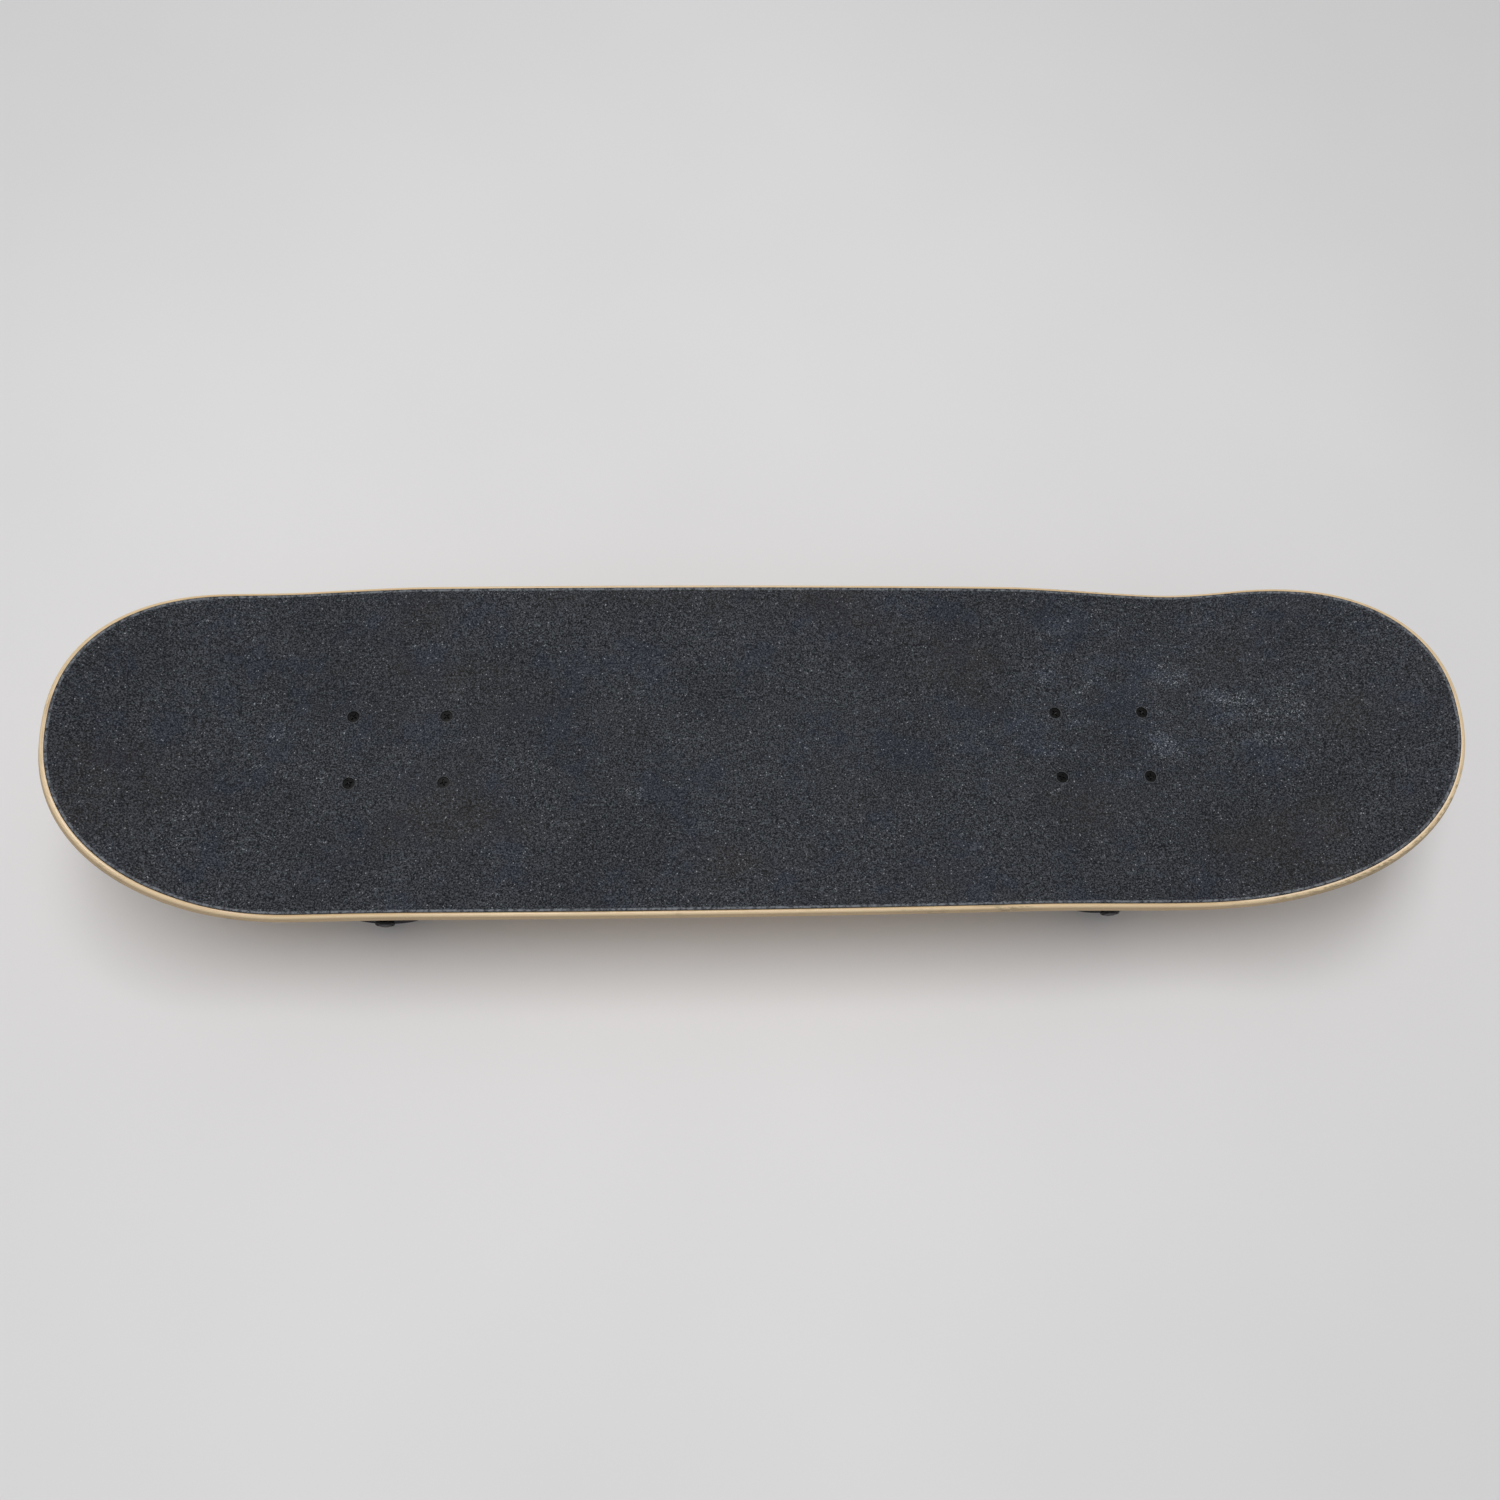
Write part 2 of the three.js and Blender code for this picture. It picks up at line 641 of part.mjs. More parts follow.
/** A cast wheel with rounded lips, dished sides and a seat for a bearing in each side. */
function wheel() {
  // The flats of the faceted tread touch the wheel's true circle.
  const tread = WHEEL_RADIUS / Math.cos(Math.PI / WHEEL_SIDES);
  const face = WHEEL_WIDTH / 2;
  const coreFace = BEARING_SPACING / 2 + BEARING.width;
  const seatEnd = BEARING_SPACING / 2 - GAP;
  const seat = BEARING.outer + GAP;
  const half = [
    [seat - SEAT_STEP, 0],
    [seat - SEAT_STEP, seatEnd],
    [seat, seatEnd],
    [seat, coreFace],
    [seat + DISH.flat, coreFace],
    [seat + DISH.flat + DISH.slope, face - DISH.faceInset],
    ...arc(tread - LIP_RADIUS, face - LIP_RADIUS, LIP_RADIUS, 90, 0, 3),
  ];
  const mirrored = half.slice(1).map(([radius, height]) => [radius, -height]).reverse();
  // A flat of the tread lies at the bottom, where the wheel stands.
  return turned([...half, ...mirrored], WHEEL_SIDES).rotateY(Math.PI / WHEEL_SIDES);
}

/** A bearing as one solid ring, centred on y = 0. */
function bearing() {
  return ring(BEARING.outer, AXLE_RADIUS + GAP, -BEARING.width / 2, BEARING.width / 2);
}

/** The pieces of one wheel, placed on the axle at its end on the given side of the truck. */
function wheelSet(prefix, side) {
  const place = (geometry) => {
    if (side < 0) geometry.rotateX(Math.PI);
    return geometry.translate(AXLE.x, 0, AXLE.z);
  };
  const bearingY = (BEARING_SPACING + BEARING.width) / 2;
  const washerY = WHEEL_Y + BEARING_SPACING / 2 + BEARING.width + GAP;
  const bore = AXLE_RADIUS + GAP;
  const washerEnd = washerY + SPEED_WASHER.thickness;
  const nutY = washerEnd + GAP;
  const speedWasher = ring(SPEED_WASHER.radius, bore, washerY, washerEnd, SMALL_SIDES);
  const nut = hexagon(AXLE_NUT.across, nutY, nutY + AXLE_NUT.height, bore);
  return [
    mesh(`${prefix}_wheel`, place(wheel().translate(0, WHEEL_Y, 0)), BLACK_URETHANE()),
    mesh(`${prefix}_bearing_inner`, place(bearing().translate(0, WHEEL_Y - bearingY, 0)), PLATED_STEEL()),
    mesh(`${prefix}_bearing_outer`, place(bearing().translate(0, WHEEL_Y + bearingY, 0)), PLATED_STEEL()),
    mesh(`${prefix}_speed_washer`, place(speedWasher), PLATED_STEEL()),
    mesh(`${prefix}_axle_nut`, place(nut), PLATED_STEEL()),
  ];
}

// ---- Assembly -------------------------------------------------------------------------------------------

/** A deck bolt and its lock nut, at one corner of the bolt pattern. */
function boltSet(prefix, number, length, width) {
  const x = length * BOLT_HALF_LENGTH;
  const y = width * BOLT_HALF_WIDTH;
  const headTop = DECK_UNDERSIDE - BOLT.sunk;
  const nutTop = -(PLATE.thickness + 2 * GAP);
  const nut = hexagon(BOLT_NUT.across, nutTop - BOLT_NUT.height, nutTop, BOLT.radius + GAP);
  return [
    mesh(`${prefix}_${number}`, deckBolt().translate(x, y, headTop), BLACK_STEEL()),
    mesh(`${prefix}_nut_${number}`, turnUp(nut).translate(x, y, 0), PLATED_STEEL()),
  ];
}

/** One truck with its wheels and deck bolts. facing is 1 for the nose and -1 for the tail. */
function truck(end, facing) {
  const group = new THREE.Group();
  group.add(
    mesh(`${end}_baseplate`, baseplate().translate(0, 0, -GAP), CAST_ALUMINIUM()),
    mesh(`${end}_pivot_cup`, pivotCup(), BLACK_PLASTIC()),
    mesh(`${end}_kingpin`, kingpin(), BLACK_STEEL()),
    mesh(`${end}_washer_board_side`, washer(BOARD_WASHER_TOP, WASHER_RADIUS.boardSide), PLATED_STEEL()),
    mesh(`${end}_bushing_board_side`, boardBushing(), BLACK_URETHANE()),
    mesh(`${end}_bushing_road_side`, roadBushing(), BLACK_URETHANE()),
    mesh(`${end}_washer_road_side`, washer(ROAD_WASHER_TOP, WASHER_RADIUS.roadSide), PLATED_STEEL()),
    mesh(`${end}_kingpin_nut`, kingpinNut(), BLACK_STEEL()),
    mesh(`${end}_hanger`, hanger(), CAST_ALUMINIUM()),
    mesh(`${end}_axle`, axle(), PLATED_STEEL()),
  );
  for (const side of [1, -1]) {
    // A truck turned to face the tail has its own left side on the board's right.
    const hand = side * facing > 0 ? "left" : "right";
    group.add(...wheelSet(`${end}_${hand}`, side));
  }
  [1, -1].forEach((length, row) => {
    [1, -1].forEach((width, column) => {
      group.add(...boltSet(`${end}_bolt`, 2 * row + column + 1, length, width));
    });
  });
  group.position.set(facing * TRUCK_X, 0, 0);
  group.rotation.z = facing > 0 ? 0 : Math.PI;
  return group;
}

/** The whole board, its origin at the middle of its bounding box's base. */
function skateboard() {
  const board = new THREE.Group();
  const layers = new THREE.Group();
  layers.add(deck(), gripTape());
  layers.position.z = DECK_UNDERSIDE;
  board.add(layers, truck("nose", 1), truck("tail", -1));
  board.updateMatrixWorld(true);
  const box = new THREE.Box3().setFromObject(board, true);
  board.position.set(-(box.min.x + box.max.x) / 2, 0, -box.min.z);
  const root = new THREE.Group();
  root.add(board);
  return root;
}

export default skateboard();
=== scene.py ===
"""A street skateboard: a pressed maple deck with grip tape, two trucks and four wheels, over its CAD frame.

Sizes named in millimetres are in the board's own frame and become metres where a mesh is made.
"""

import json
import logging
import math
from dataclasses import dataclass
from enum import Enum
from typing import Iterable, Sequence

import bmesh
import bpy
import numpy as np
from mathutils import Matrix, Vector


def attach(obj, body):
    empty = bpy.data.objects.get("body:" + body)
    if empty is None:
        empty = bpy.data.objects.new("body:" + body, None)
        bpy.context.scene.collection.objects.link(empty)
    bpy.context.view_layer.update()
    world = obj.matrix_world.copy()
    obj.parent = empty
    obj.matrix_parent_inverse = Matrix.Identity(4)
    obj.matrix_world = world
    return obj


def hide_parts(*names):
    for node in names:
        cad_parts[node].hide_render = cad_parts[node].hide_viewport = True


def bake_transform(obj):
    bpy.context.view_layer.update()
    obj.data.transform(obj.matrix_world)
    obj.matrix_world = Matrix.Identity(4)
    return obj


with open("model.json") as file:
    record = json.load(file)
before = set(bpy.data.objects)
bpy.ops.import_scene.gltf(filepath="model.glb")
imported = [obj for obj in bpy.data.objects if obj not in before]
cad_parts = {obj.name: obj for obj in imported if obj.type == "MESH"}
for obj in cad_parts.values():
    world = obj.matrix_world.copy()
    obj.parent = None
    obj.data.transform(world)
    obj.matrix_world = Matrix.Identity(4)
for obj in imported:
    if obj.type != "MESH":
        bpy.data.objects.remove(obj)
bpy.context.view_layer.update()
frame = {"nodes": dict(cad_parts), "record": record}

log = logging.getLogger("skateboard")
logging.basicConfig(level=logging.INFO, format="%(message)s")

MM = 0.001
# Clearance in millimetres between pieces that touch.
GAP = 0.3
# Points closer than this are one point, in metres: in a new mesh and in a copy of a CAD node.
MERGE = 2e-6
NODE_MERGE = 1e-6
# Edges shorter than this are removed.
SLIVER = 1e-7
Array = np.ndarray
Colour = tuple[int, int, int]
Profile = list[tuple[float, float]]
Socket = bpy.types.NodeSocket


class End(Enum):
    """The two ends of the board, with the direction each faces along X."""

    NOSE = 1
    TAIL = -1

    @property
    def label(self) -> str:
        """The end's name in the names of its pieces."""
        return self.name.lower()


class Axis(Enum):
    """The lines in a truck that turned pieces are made about."""

    KINGPIN = "kingpin"
    PIVOT = "pivot"
    AXLE = "axle"


# ---- Meshes --------------------------------------------------------------------------------------------


def around(sides: int) -> Array:
    """Angles in one row, evenly spaced round a full turn."""
    return np.linspace(0, 2 * np.pi, sides, endpoint=False)[None, :]


def across(column: Array, sides: int) -> Array:
    """One number for each row, repeated at every angle."""
    return np.repeat(np.reshape(column, (-1, 1)), sides, axis=1)


def grid_faces(rows: int, columns: int, wrap_rows: bool, wrap_columns: bool) -> Array:
    """Squares between neighbouring points of a grid stored row by row.

    Args:
        rows: Points down the grid.
        columns: Points across the grid.
        wrap_rows: Whether the last row joins the first.
        wrap_columns: Whether the last column joins the first.

    Returns:
        An array of four point numbers for each face.
    """
    down = np.arange(rows if wrap_rows else rows - 1)
    across = np.arange(columns if wrap_columns else columns - 1)
    row, column = np.meshgrid(down, across, indexing="ij")
    next_row = (row + 1) % rows
    next_column = (column + 1) % columns
    corners = [
        row * columns + column,
        row * columns + next_column,
        next_row * columns + next_column,
        next_row * columns + column,
    ]
    return np.stack([corner.ravel() for corner in corners], axis=1)


@dataclass
class Shell:
    """Points in millimetres and the faces between them, which may be several closed surfaces."""

    points: Array
    faces: Array

    def moved(self, matrix: Matrix) -> "Shell":
        """The shell with its points carried by a matrix in millimetres."""
        table = np.array(matrix)
        return Shell(self.points @ table[:3, :3].T + table[:3, 3], self.faces)

    def __add__(self, other: "Shell") -> "Shell":
        """Both shells as one mesh."""
        faces = np.concatenate([self.faces, other.faces + len(self.points)])
        return Shell(np.concatenate([self.points, other.points]), faces)


def together(shells: Iterable[Shell]) -> Shell:
    """Several shells as one mesh.

    Args:
        shells: The shells, in order.

    Returns:
        The one shell.
    """
    first, *others = shells
    for other in others:
        first = first + other
    return first


def turned(profile: Sequence[tuple[float, float]], sides: int = 64) -> Shell:
    """A profile carried round Z: the point at angle t is (r cos t, r sin t, h).

    Args:
        profile: Radius and height pairs. It starts and ends on the axis, or closes on itself.
        sides: Steps round the axis.

    Returns:
        The closed shell.
    """
    radius, height = np.array(profile, float).T
    return lathe(across(radius, sides), across(height, sides))


def lathe(radius: Array, height: Array) -> Shell:
    """A surface round Z whose radius and height are given at each row and each angle.

    Args:
        radius: Radii, one row for each place along the profile and one column for each angle.
        height: Heights on the same grid.

    Returns:
        The shell, its rows joined into a ring where the profile stays off the axis.
    """
    rows, sides = radius.shape
    angle = around(sides)
    points = np.stack([radius * np.cos(angle), radius * np.sin(angle), height], axis=-1)
    is_ring = bool(radius[0].min() > 0)
    return Shell(points.reshape(-1, 3), grid_faces(rows, sides, is_ring, True))


def quarter(
    centre: tuple[float, float], radii: tuple[float, float], start: float, end: float, steps: int
) -> Profile:
    """Profile points along part of an ellipse: centre + (a cos t, b sin t), with t in degrees.

    Args:
        centre: The ellipse's middle, as radius and height.
        radii: Its half widths along the radius and the height.
        start: The first angle.
        end: The last angle.
        steps: Steps between them.

    Returns:
        The radius and height pairs.
    """
    angle = np.radians(np.linspace(start, end, steps + 1))
    x = centre[0] + radii[0] * np.cos(angle)
    y = centre[1] + radii[1] * np.sin(angle)
    return list(zip(x.tolist(), y.tolist()))


def rounded_ring(inner: float, outer: float, low: float, high: float, edge: float, steps: int = 3) -> Profile:
    """A ring's profile with its four edges rounded.

    Args:
        inner: Radius of the hole.
        outer: Outer radius.
        low: Height of one face.
        high: Height of the other face.
        edge: Radius of each rounded edge.
        steps: Steps in each rounded edge.

    Returns:
        The closed profile's radius and height pairs.
    """
    size = (edge, edge)
    return [
        *quarter((outer - edge, low + edge), size, -90, 0, steps),
        *quarter((outer - edge, high - edge), size, 0, 90, steps),
        *quarter((inner + edge, high - edge), size, 90, 180, steps),
        *quarter((inner + edge, low + edge), size, 180, 270, steps),
    ]


def closed_mesh(name: str, shell: Shell, attributes: dict[str, Array] | None = None) -> bpy.types.Mesh:
    """A mesh in metres from a shell, with seams and poles merged and faces pointing out.

    Args:
        name: The mesh's name.
        shell: Points in millimetres, and faces.
        attributes: Numbers to keep at each point, by name.

    Returns:
        The closed mesh.
    """
    mesh = bpy.data.meshes.new(name)
    mesh.from_pydata((shell.points * MM).tolist(), [], shell.faces.tolist())
    for label, values in (attributes or {}).items():
        mesh.attributes.new(label, "FLOAT", "POINT").data.foreach_set("value", values.astype(np.float32))
    work = bmesh.new()
    work.from_mesh(mesh)
    bmesh.ops.remove_doubles(work, verts=work.verts, dist=MERGE)
    bmesh.ops.dissolve_degenerate(work, edges=work.edges, dist=SLIVER)
    bmesh.ops.recalc_face_normals(work, faces=work.faces)
    work.to_mesh(mesh)
    work.free()
    return mesh


def shade(mesh: bpy.types.Mesh, sharp: float = 38.0) -> None:
    """Smooth shading, with an edge kept sharp where its faces meet at more than an angle in degrees."""
    mesh.shade_smooth()
    mesh.set_sharp_from_angle(angle=math.radians(sharp))


def put(name: str, data: bpy.types.ID | None) -> bpy.types.Object:
    """A new object in the scene, at the origin.

    Args:
        name: The object's name.
        data: Its mesh, light or camera.

    Returns:
        The object.
    """
    thing = bpy.data.objects.new(name, data)
    bpy.context.scene.collection.objects.link(thing)
    return thing


def numbers_of(
    items: bpy.types.bpy_prop_collection, field: str, width: int = 1, kind: type = np.float32
) -> Array:
    """One field of each item of a mesh.

    Args:
        items: The mesh's points, faces, corners or attribute values.
        field: The field's name.
        width: How many numbers the field holds.
        kind: The numbers' type.

    Returns:
        A flat array, or one row for each item where the field holds several numbers.
    """
    table = np.empty(len(items) * width, kind)
    items.foreach_get(field, table)
    return table if width == 1 else table.reshape(-1, width)


def add_piece(name: str, mesh: bpy.types.Mesh, body: str, finish: "Finish", slot: str) -> bpy.types.Object:
    """Puts a mesh in the scene as a piece of the board.

    Args:
        name: The piece's name.
        mesh: Its mesh, already in place.
        body: The body that it rides on.
        finish: Its finish.
        slot: The name of a material slot; it is not used.

    Returns:
        The piece's object.
    """
    piece = put(name, mesh)
    mesh.materials.clear()
    mesh.materials.append(finish.material())
    shade(mesh)
    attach(piece, body)
    log.info("%s: %d faces on %s", name, len(mesh.polygons), body)
    return piece


def with_modifiers(piece: bpy.types.Object) -> bpy.types.Mesh:
    """A new mesh of a piece with its modifiers applied."""
    graph = bpy.context.evaluated_depsgraph_get()
    return bpy.data.meshes.new_from_object(piece.evaluated_get(graph))


# ---- Finishes ------------------------------------------------------------------------------------------


def paint(colour: Colour) -> tuple[float, float, float, float]:
    """A screen colour from 0 to 255 as the linear colour that a node takes.

    Args:
        colour: Red, green and blue.

    Returns:
        Linear red, green and blue, and full opacity.
    """
    share = np.array(colour, float) / 255
    linear = np.where(share <= 0.04045, share / 12.92, ((share + 0.055) / 1.055) ** 2.4)
    return (*linear.tolist(), 1.0)


@dataclass(frozen=True)
class Pattern:
    """Soft noise: blotches about 1 / scale metres across, packed along each axis and turned about Z."""

    scale: float
    detail: float = 2.0
    roughness: float = 0.5
    stretch: tuple[float, float, float] = (1, 1, 1)
    turn: float = 0.0


@dataclass(frozen=True)
class Span:
    """The two values between which a mask changes, and what it is at each of them."""

    low: float
    high: float
    start: float = 0.0
    end: float = 1.0


@dataclass(frozen=True)
class Relief:
    """A bump's strength, and its depth in metres."""

    strength: float
    depth: float


class Graph:
    """A material's nodes, with one short call for each kind that the finishes use."""

    def __init__(self, name: str) -> None:
        """Starts a material that holds a shader and nothing else.

        Args:
            name: The material's name.
        """
        self.material = bpy.data.materials.new(name)
        self.material.use_nodes = True
        self.nodes = self.material.node_tree.nodes
        self.links = self.material.node_tree.links
        self.nodes.clear()
        self.shader = self.nodes.new("ShaderNodeBsdfPrincipled")
        self.output = self.nodes.new("ShaderNodeOutputMaterial")
        self.links.new(self.shader.outputs["BSDF"], self.output.inputs["Surface"])

    def feed(self, socket: Socket, value: "Socket | float | tuple") -> None:
        """Links a socket to another's output, or sets its value.

        Args:
            socket: The input to feed.
            value: Another node's output, or a plain value.
        """
        if isinstance(value, bpy.types.NodeSocket):
            self.links.new(value, socket)
        else:
            socket.default_value = value

    def place(self, scale: tuple[float, float, float] = (1, 1, 1), turn: float = 0.0) -> Socket:
        """The place on the object in metres, stretched along each axis and turned about Z in degrees.

        Args:
            scale: How far each axis is stretched.
            turn: The turn about Z in degrees.

        Returns:
            The place.
        """
        coordinates = self.nodes.new("ShaderNodeTexCoord")
        mapping = self.nodes.new("ShaderNodeMapping")
        mapping.inputs["Scale"].default_value = scale
        mapping.inputs["Rotation"].default_value = (0, 0, math.radians(turn))
        self.links.new(coordinates.outputs["Object"], mapping.inputs["Vector"])
        return mapping.outputs["Vector"]

    def axis(self, name: str) -> Socket:
        """One coordinate of the place on the object, in metres.

        Args:
            name: X, Y or Z.

        Returns:
            The coordinate.
        """
        split = self.nodes.new("ShaderNodeSeparateXYZ")
        self.links.new(self.place(), split.inputs["Vector"])
        return split.outputs[name]

    def blot(self, scuff: "Scuff") -> Socket:
        """1 in the middle of a scuff's ellipse seen from above, fading to 0 at its edge.

        Args:
            scuff: The ellipse.

        Returns:
            The mask.
        """
        coordinates = self.nodes.new("ShaderNodeTexCoord")
        mapping = self.nodes.new("ShaderNodeMapping")
        mapping.vector_type = "TEXTURE"
        mapping.inputs["Location"].default_value = (*scuff.place, scuff.height)
        mapping.inputs["Rotation"].default_value = (0, 0, math.radians(scuff.turn))
        mapping.inputs["Scale"].default_value = (*scuff.size, 1)
        gradient = self.nodes.new("ShaderNodeTexGradient")
        gradient.gradient_type = "SPHERICAL"
        self.links.new(coordinates.outputs["Object"], mapping.inputs["Vector"])
        self.links.new(mapping.outputs["Vector"], gradient.inputs["Vector"])
        return gradient.outputs["Fac"]

    def attribute(self, name: str) -> Socket:
        """A number kept at each point of the mesh.

        Args:
            name: The attribute's name.

        Returns:
            The number.
        """
        node = self.nodes.new("ShaderNodeAttribute")
        node.attribute_name = name
        return node.outputs["Fac"]

    def noise(self, pattern: Pattern) -> Socket:
        """A pattern's noise, from 0 to 1.

        Args:
            pattern: The noise to make.

        Returns:
            The noise.
        """
        node = self.nodes.new("ShaderNodeTexNoise")
        self.links.new(self.place(pattern.stretch, pattern.turn), node.inputs["Vector"])
        for label in ("scale", "detail", "roughness"):
            node.inputs[label.title()].default_value = getattr(pattern, label)
        return node.outputs["Fac"]

    def cells(self, scale: float) -> Socket:
        """Distance to the nearest of scattered points, which are about 1 / scale metres apart.

        Args:
            scale: How closely the points are scattered.

        Returns:
            The distance.
        """
        node = self.nodes.new("ShaderNodeTexVoronoi")
        self.links.new(self.place(), node.inputs["Vector"])
        node.inputs["Scale"].default_value = scale
        return node.outputs["Distance"]

    def combine(self, operation: str, first: "Socket | float", *others: "Socket | float") -> Socket:
        """Numbers taken through one operation from left to right, each result kept from 0 to 1.

        Args:
            operation: The Math node's operation.
            first: The first number.
            others: The numbers after it.

        Returns:
            The result.
        """
        result = first
        for other in others or (0.0,):
            node = self.nodes.new("ShaderNodeMath")
            node.operation = operation
            node.use_clamp = True
            self.feed(node.inputs[0], result)
            self.feed(node.inputs[1], other)
            result = node.outputs["Value"]
        return result

    def product(self, *values: "Socket | float") -> Socket:
        """Numbers multiplied together."""
        return self.combine("MULTIPLY", *values)

    def between(self, value: Socket, span: Span) -> Socket:
        """A smooth change from the span's start to its end as a number goes from its low to its high.

        Args:
            value: The number.
            span: Where the change lies and what it runs between.

        Returns:
            The result.
        """
        node = self.nodes.new("ShaderNodeMapRange")
        node.interpolation_type = "SMOOTHSTEP"
        self.feed(node.inputs["Value"], value)
        limits = {"From Min": span.low, "From Max": span.high, "To Min": span.start, "To Max": span.end}
        for label, number in limits.items():
            node.inputs[label].default_value = number
        return node.outputs["Result"]

    def ramp(self, value: Socket, places: Sequence[float], colours: Sequence[Colour]) -> Socket:
        """A colour picked along a row of colours, each at its own place.

        Args:
            value: The place along the row, from 0 to 1.
            places: The colours' places, in order.
            colours: The colours.

        Returns:
            The colour.
        """
        node = self.nodes.new("ShaderNodeValToRGB")
        self.links.new(value, node.inputs["Fac"])
        elements = node.color_ramp.elements
        for element, number in zip(elements, (0, -1)):
            element.position, element.color = places[number], paint(colours[number])
        for position, colour in list(zip(places, colours))[1:-1]:
            elements.new(position).color = paint(colour)
        return node.outputs["Color"]

    def mix(
        self, share: "Socket | float", first: "Socket | tuple", second: "Socket | tuple", mode: str = "MIX"
    ) -> Socket:
        """Two colours mixed, the second by the given share.

        Args:
            share: Share of the second colour.
            first: The first colour.
            second: The second colour.
            mode: How they are blended.

        Returns:
            The mixed colour.
        """
        node = self.nodes.new("ShaderNodeMix")
        node.data_type = "RGBA"
        node.blend_type = mode
        self.feed(node.inputs["Factor"], share)
        self.feed(node.inputs[6], first)
        self.feed(node.inputs[7], second)
        return node.outputs[2]

    def bump(self, height: Socket, relief: Relief, under: Socket | None = None) -> Socket:
        """A surface raised by a height, over another bump if one is given.

        Args:
            height: The height, from 0 to 1.
            relief: How strong and deep the bump is.
            under: A bump that it is added to.

        Returns:
            The bent normal.
        """
        node = self.nodes.new("ShaderNodeBump")
        node.inputs["Strength"].default_value = relief.strength
        node.inputs["Distance"].default_value = relief.depth
        self.links.new(height, node.inputs["Height"])
        if under is not None:
            self.links.new(under, node.inputs["Normal"])
        return node.outputs["Normal"]

    def dress(self, **sockets: "Socket | float | tuple") -> bpy.types.Material:
        """Feeds the shader's sockets, named with underscores for spaces, and returns the material.

        Args:
            sockets: Values or outputs, by the name of their socket.

        Returns:
            The material.
        """
        for label, value in sockets.items():
            self.feed(self.shader.inputs[label.replace("_", " ").title()], value)
        return self.material


@dataclass(frozen=True)
class Finish:
    """A finish that is made into a material once, however many pieces wear it."""

    name: str = "finish"

    def material(self) -> bpy.types.Material:
        """The finish's material, made the first time."""
        return bpy.data.materials.get(self.name) or self.make()

    def make(self) -> bpy.types.Material:
        """Builds the material's nodes."""
        raise NotImplementedError


@dataclass(frozen=True)
class Metal(Finish):
    """A metal surface with drawn or cast relief, cloudy roughness and darker dirt in patches."""

    bright: Colour = (190, 192, 194)
    dull: Colour = (140, 142, 145)
    gloss: tuple[float, float] = (0.25, 0.45)
    grain: float = 2500.0
    depth: float = 0.00002
    metallic: float = 1.0
    stretch: tuple[float, float, float] = (1, 1, 1)
    shine: float = 0.5
    clouds: Pattern = Pattern(110.0, 4.0, 0.6)
    tones: tuple[float, float] = (0.34, 0.62)
    dirt: Span = Span(0.55, 0.75, 0.0, 0.35)
    strength: float = 0.6

    def make(self) -> bpy.types.Material:
        """Clouds of two tones, with a fine relief at the metal's own grain.

        Returns:
            The material.
        """
        graph = Graph(self.name)
        graph.shader.inputs["Specular IOR Level"].default_value = self.shine
        clouds = graph.noise(self.clouds)
        fine = graph.noise(Pattern(self.grain, 3.0, 0.6, self.stretch))
        tone = graph.ramp(clouds, self.tones, (self.dull, self.bright))
        return graph.dress(
            base_color=graph.mix(graph.between(fine, self.dirt), tone, paint(self.dull)),
            metallic=self.metallic,
            roughness=graph.between(clouds, Span(0.3, 0.7, *self.gloss)),
            normal=graph.bump(fine, Relief(self.strength, self.depth)),
        )


@dataclass(frozen=True)
class GroundCasting(Finish):
    """Raw cast aluminium, ground bright and scored across where it slides along an edge."""

    skin: Colour = (176, 178, 180)
    shadow: Colour = (128, 130, 133)
    ground: Colour = (214, 215, 216)
    ground_top: float = 0.019
    top_fade: float = 0.004
    ground_half_width: float = 0.046
    side_fade: float = 0.012
    clouds: Pattern = Pattern(60.0, 5.0, 0.6)
    pits: Pattern = Pattern(1700.0, 3.0, 0.65)
    streaks: Pattern = Pattern(1.0, 3.0, 0.7, (20, 1500, 300))
    patches: Span = Span(0.3, 0.5)
    dirt: Span = Span(0.56, 0.72, 0.0, 0.3)
    skin_tones: tuple[float, float] = (0.3, 0.6)
    scored_tones: tuple[float, float, float] = (0.3, 0.5, 0.7)
    gloss: Span = Span(0.0, 1.0, 0.5, 0.3)
    pit_relief: Relief = Relief(0.7, 0.00012)
    score_relief: Relief = Relief(0.5, 0.0001)

    def make(self) -> bpy.types.Material:
        """A grainy cast skin, with fine streaks along X on the low middle of the hanger.

        Returns:
            The material.
        """
        graph = Graph(self.name)
        clouds = graph.noise(self.clouds)
        pits = graph.noise(self.pits)
        streaks = graph.noise(self.streaks)
        reach = graph.combine("ABSOLUTE", graph.axis("Y"))
        low = graph.between(graph.axis("Z"), Span(self.ground_top, self.ground_top - self.top_fade))
        near = graph.between(reach, Span(self.ground_half_width, self.ground_half_width - self.side_fade))
        worn = graph.product(low, near, graph.between(clouds, self.patches))
        skin = graph.ramp(clouds, self.skin_tones, (self.shadow, self.skin))
        dirty = graph.mix(graph.between(pits, self.dirt), skin, paint(self.shadow))
        scored = graph.ramp(streaks, self.scored_tones, (self.shadow, self.skin, self.ground))
        cast = graph.bump(pits, self.pit_relief)
        return graph.dress(
            base_color=graph.mix(worn, dirty, scored),
            metallic=1.0,
            roughness=graph.between(worn, self.gloss),
            normal=graph.bump(graph.product(streaks, worn), self.score_relief, cast),
        )


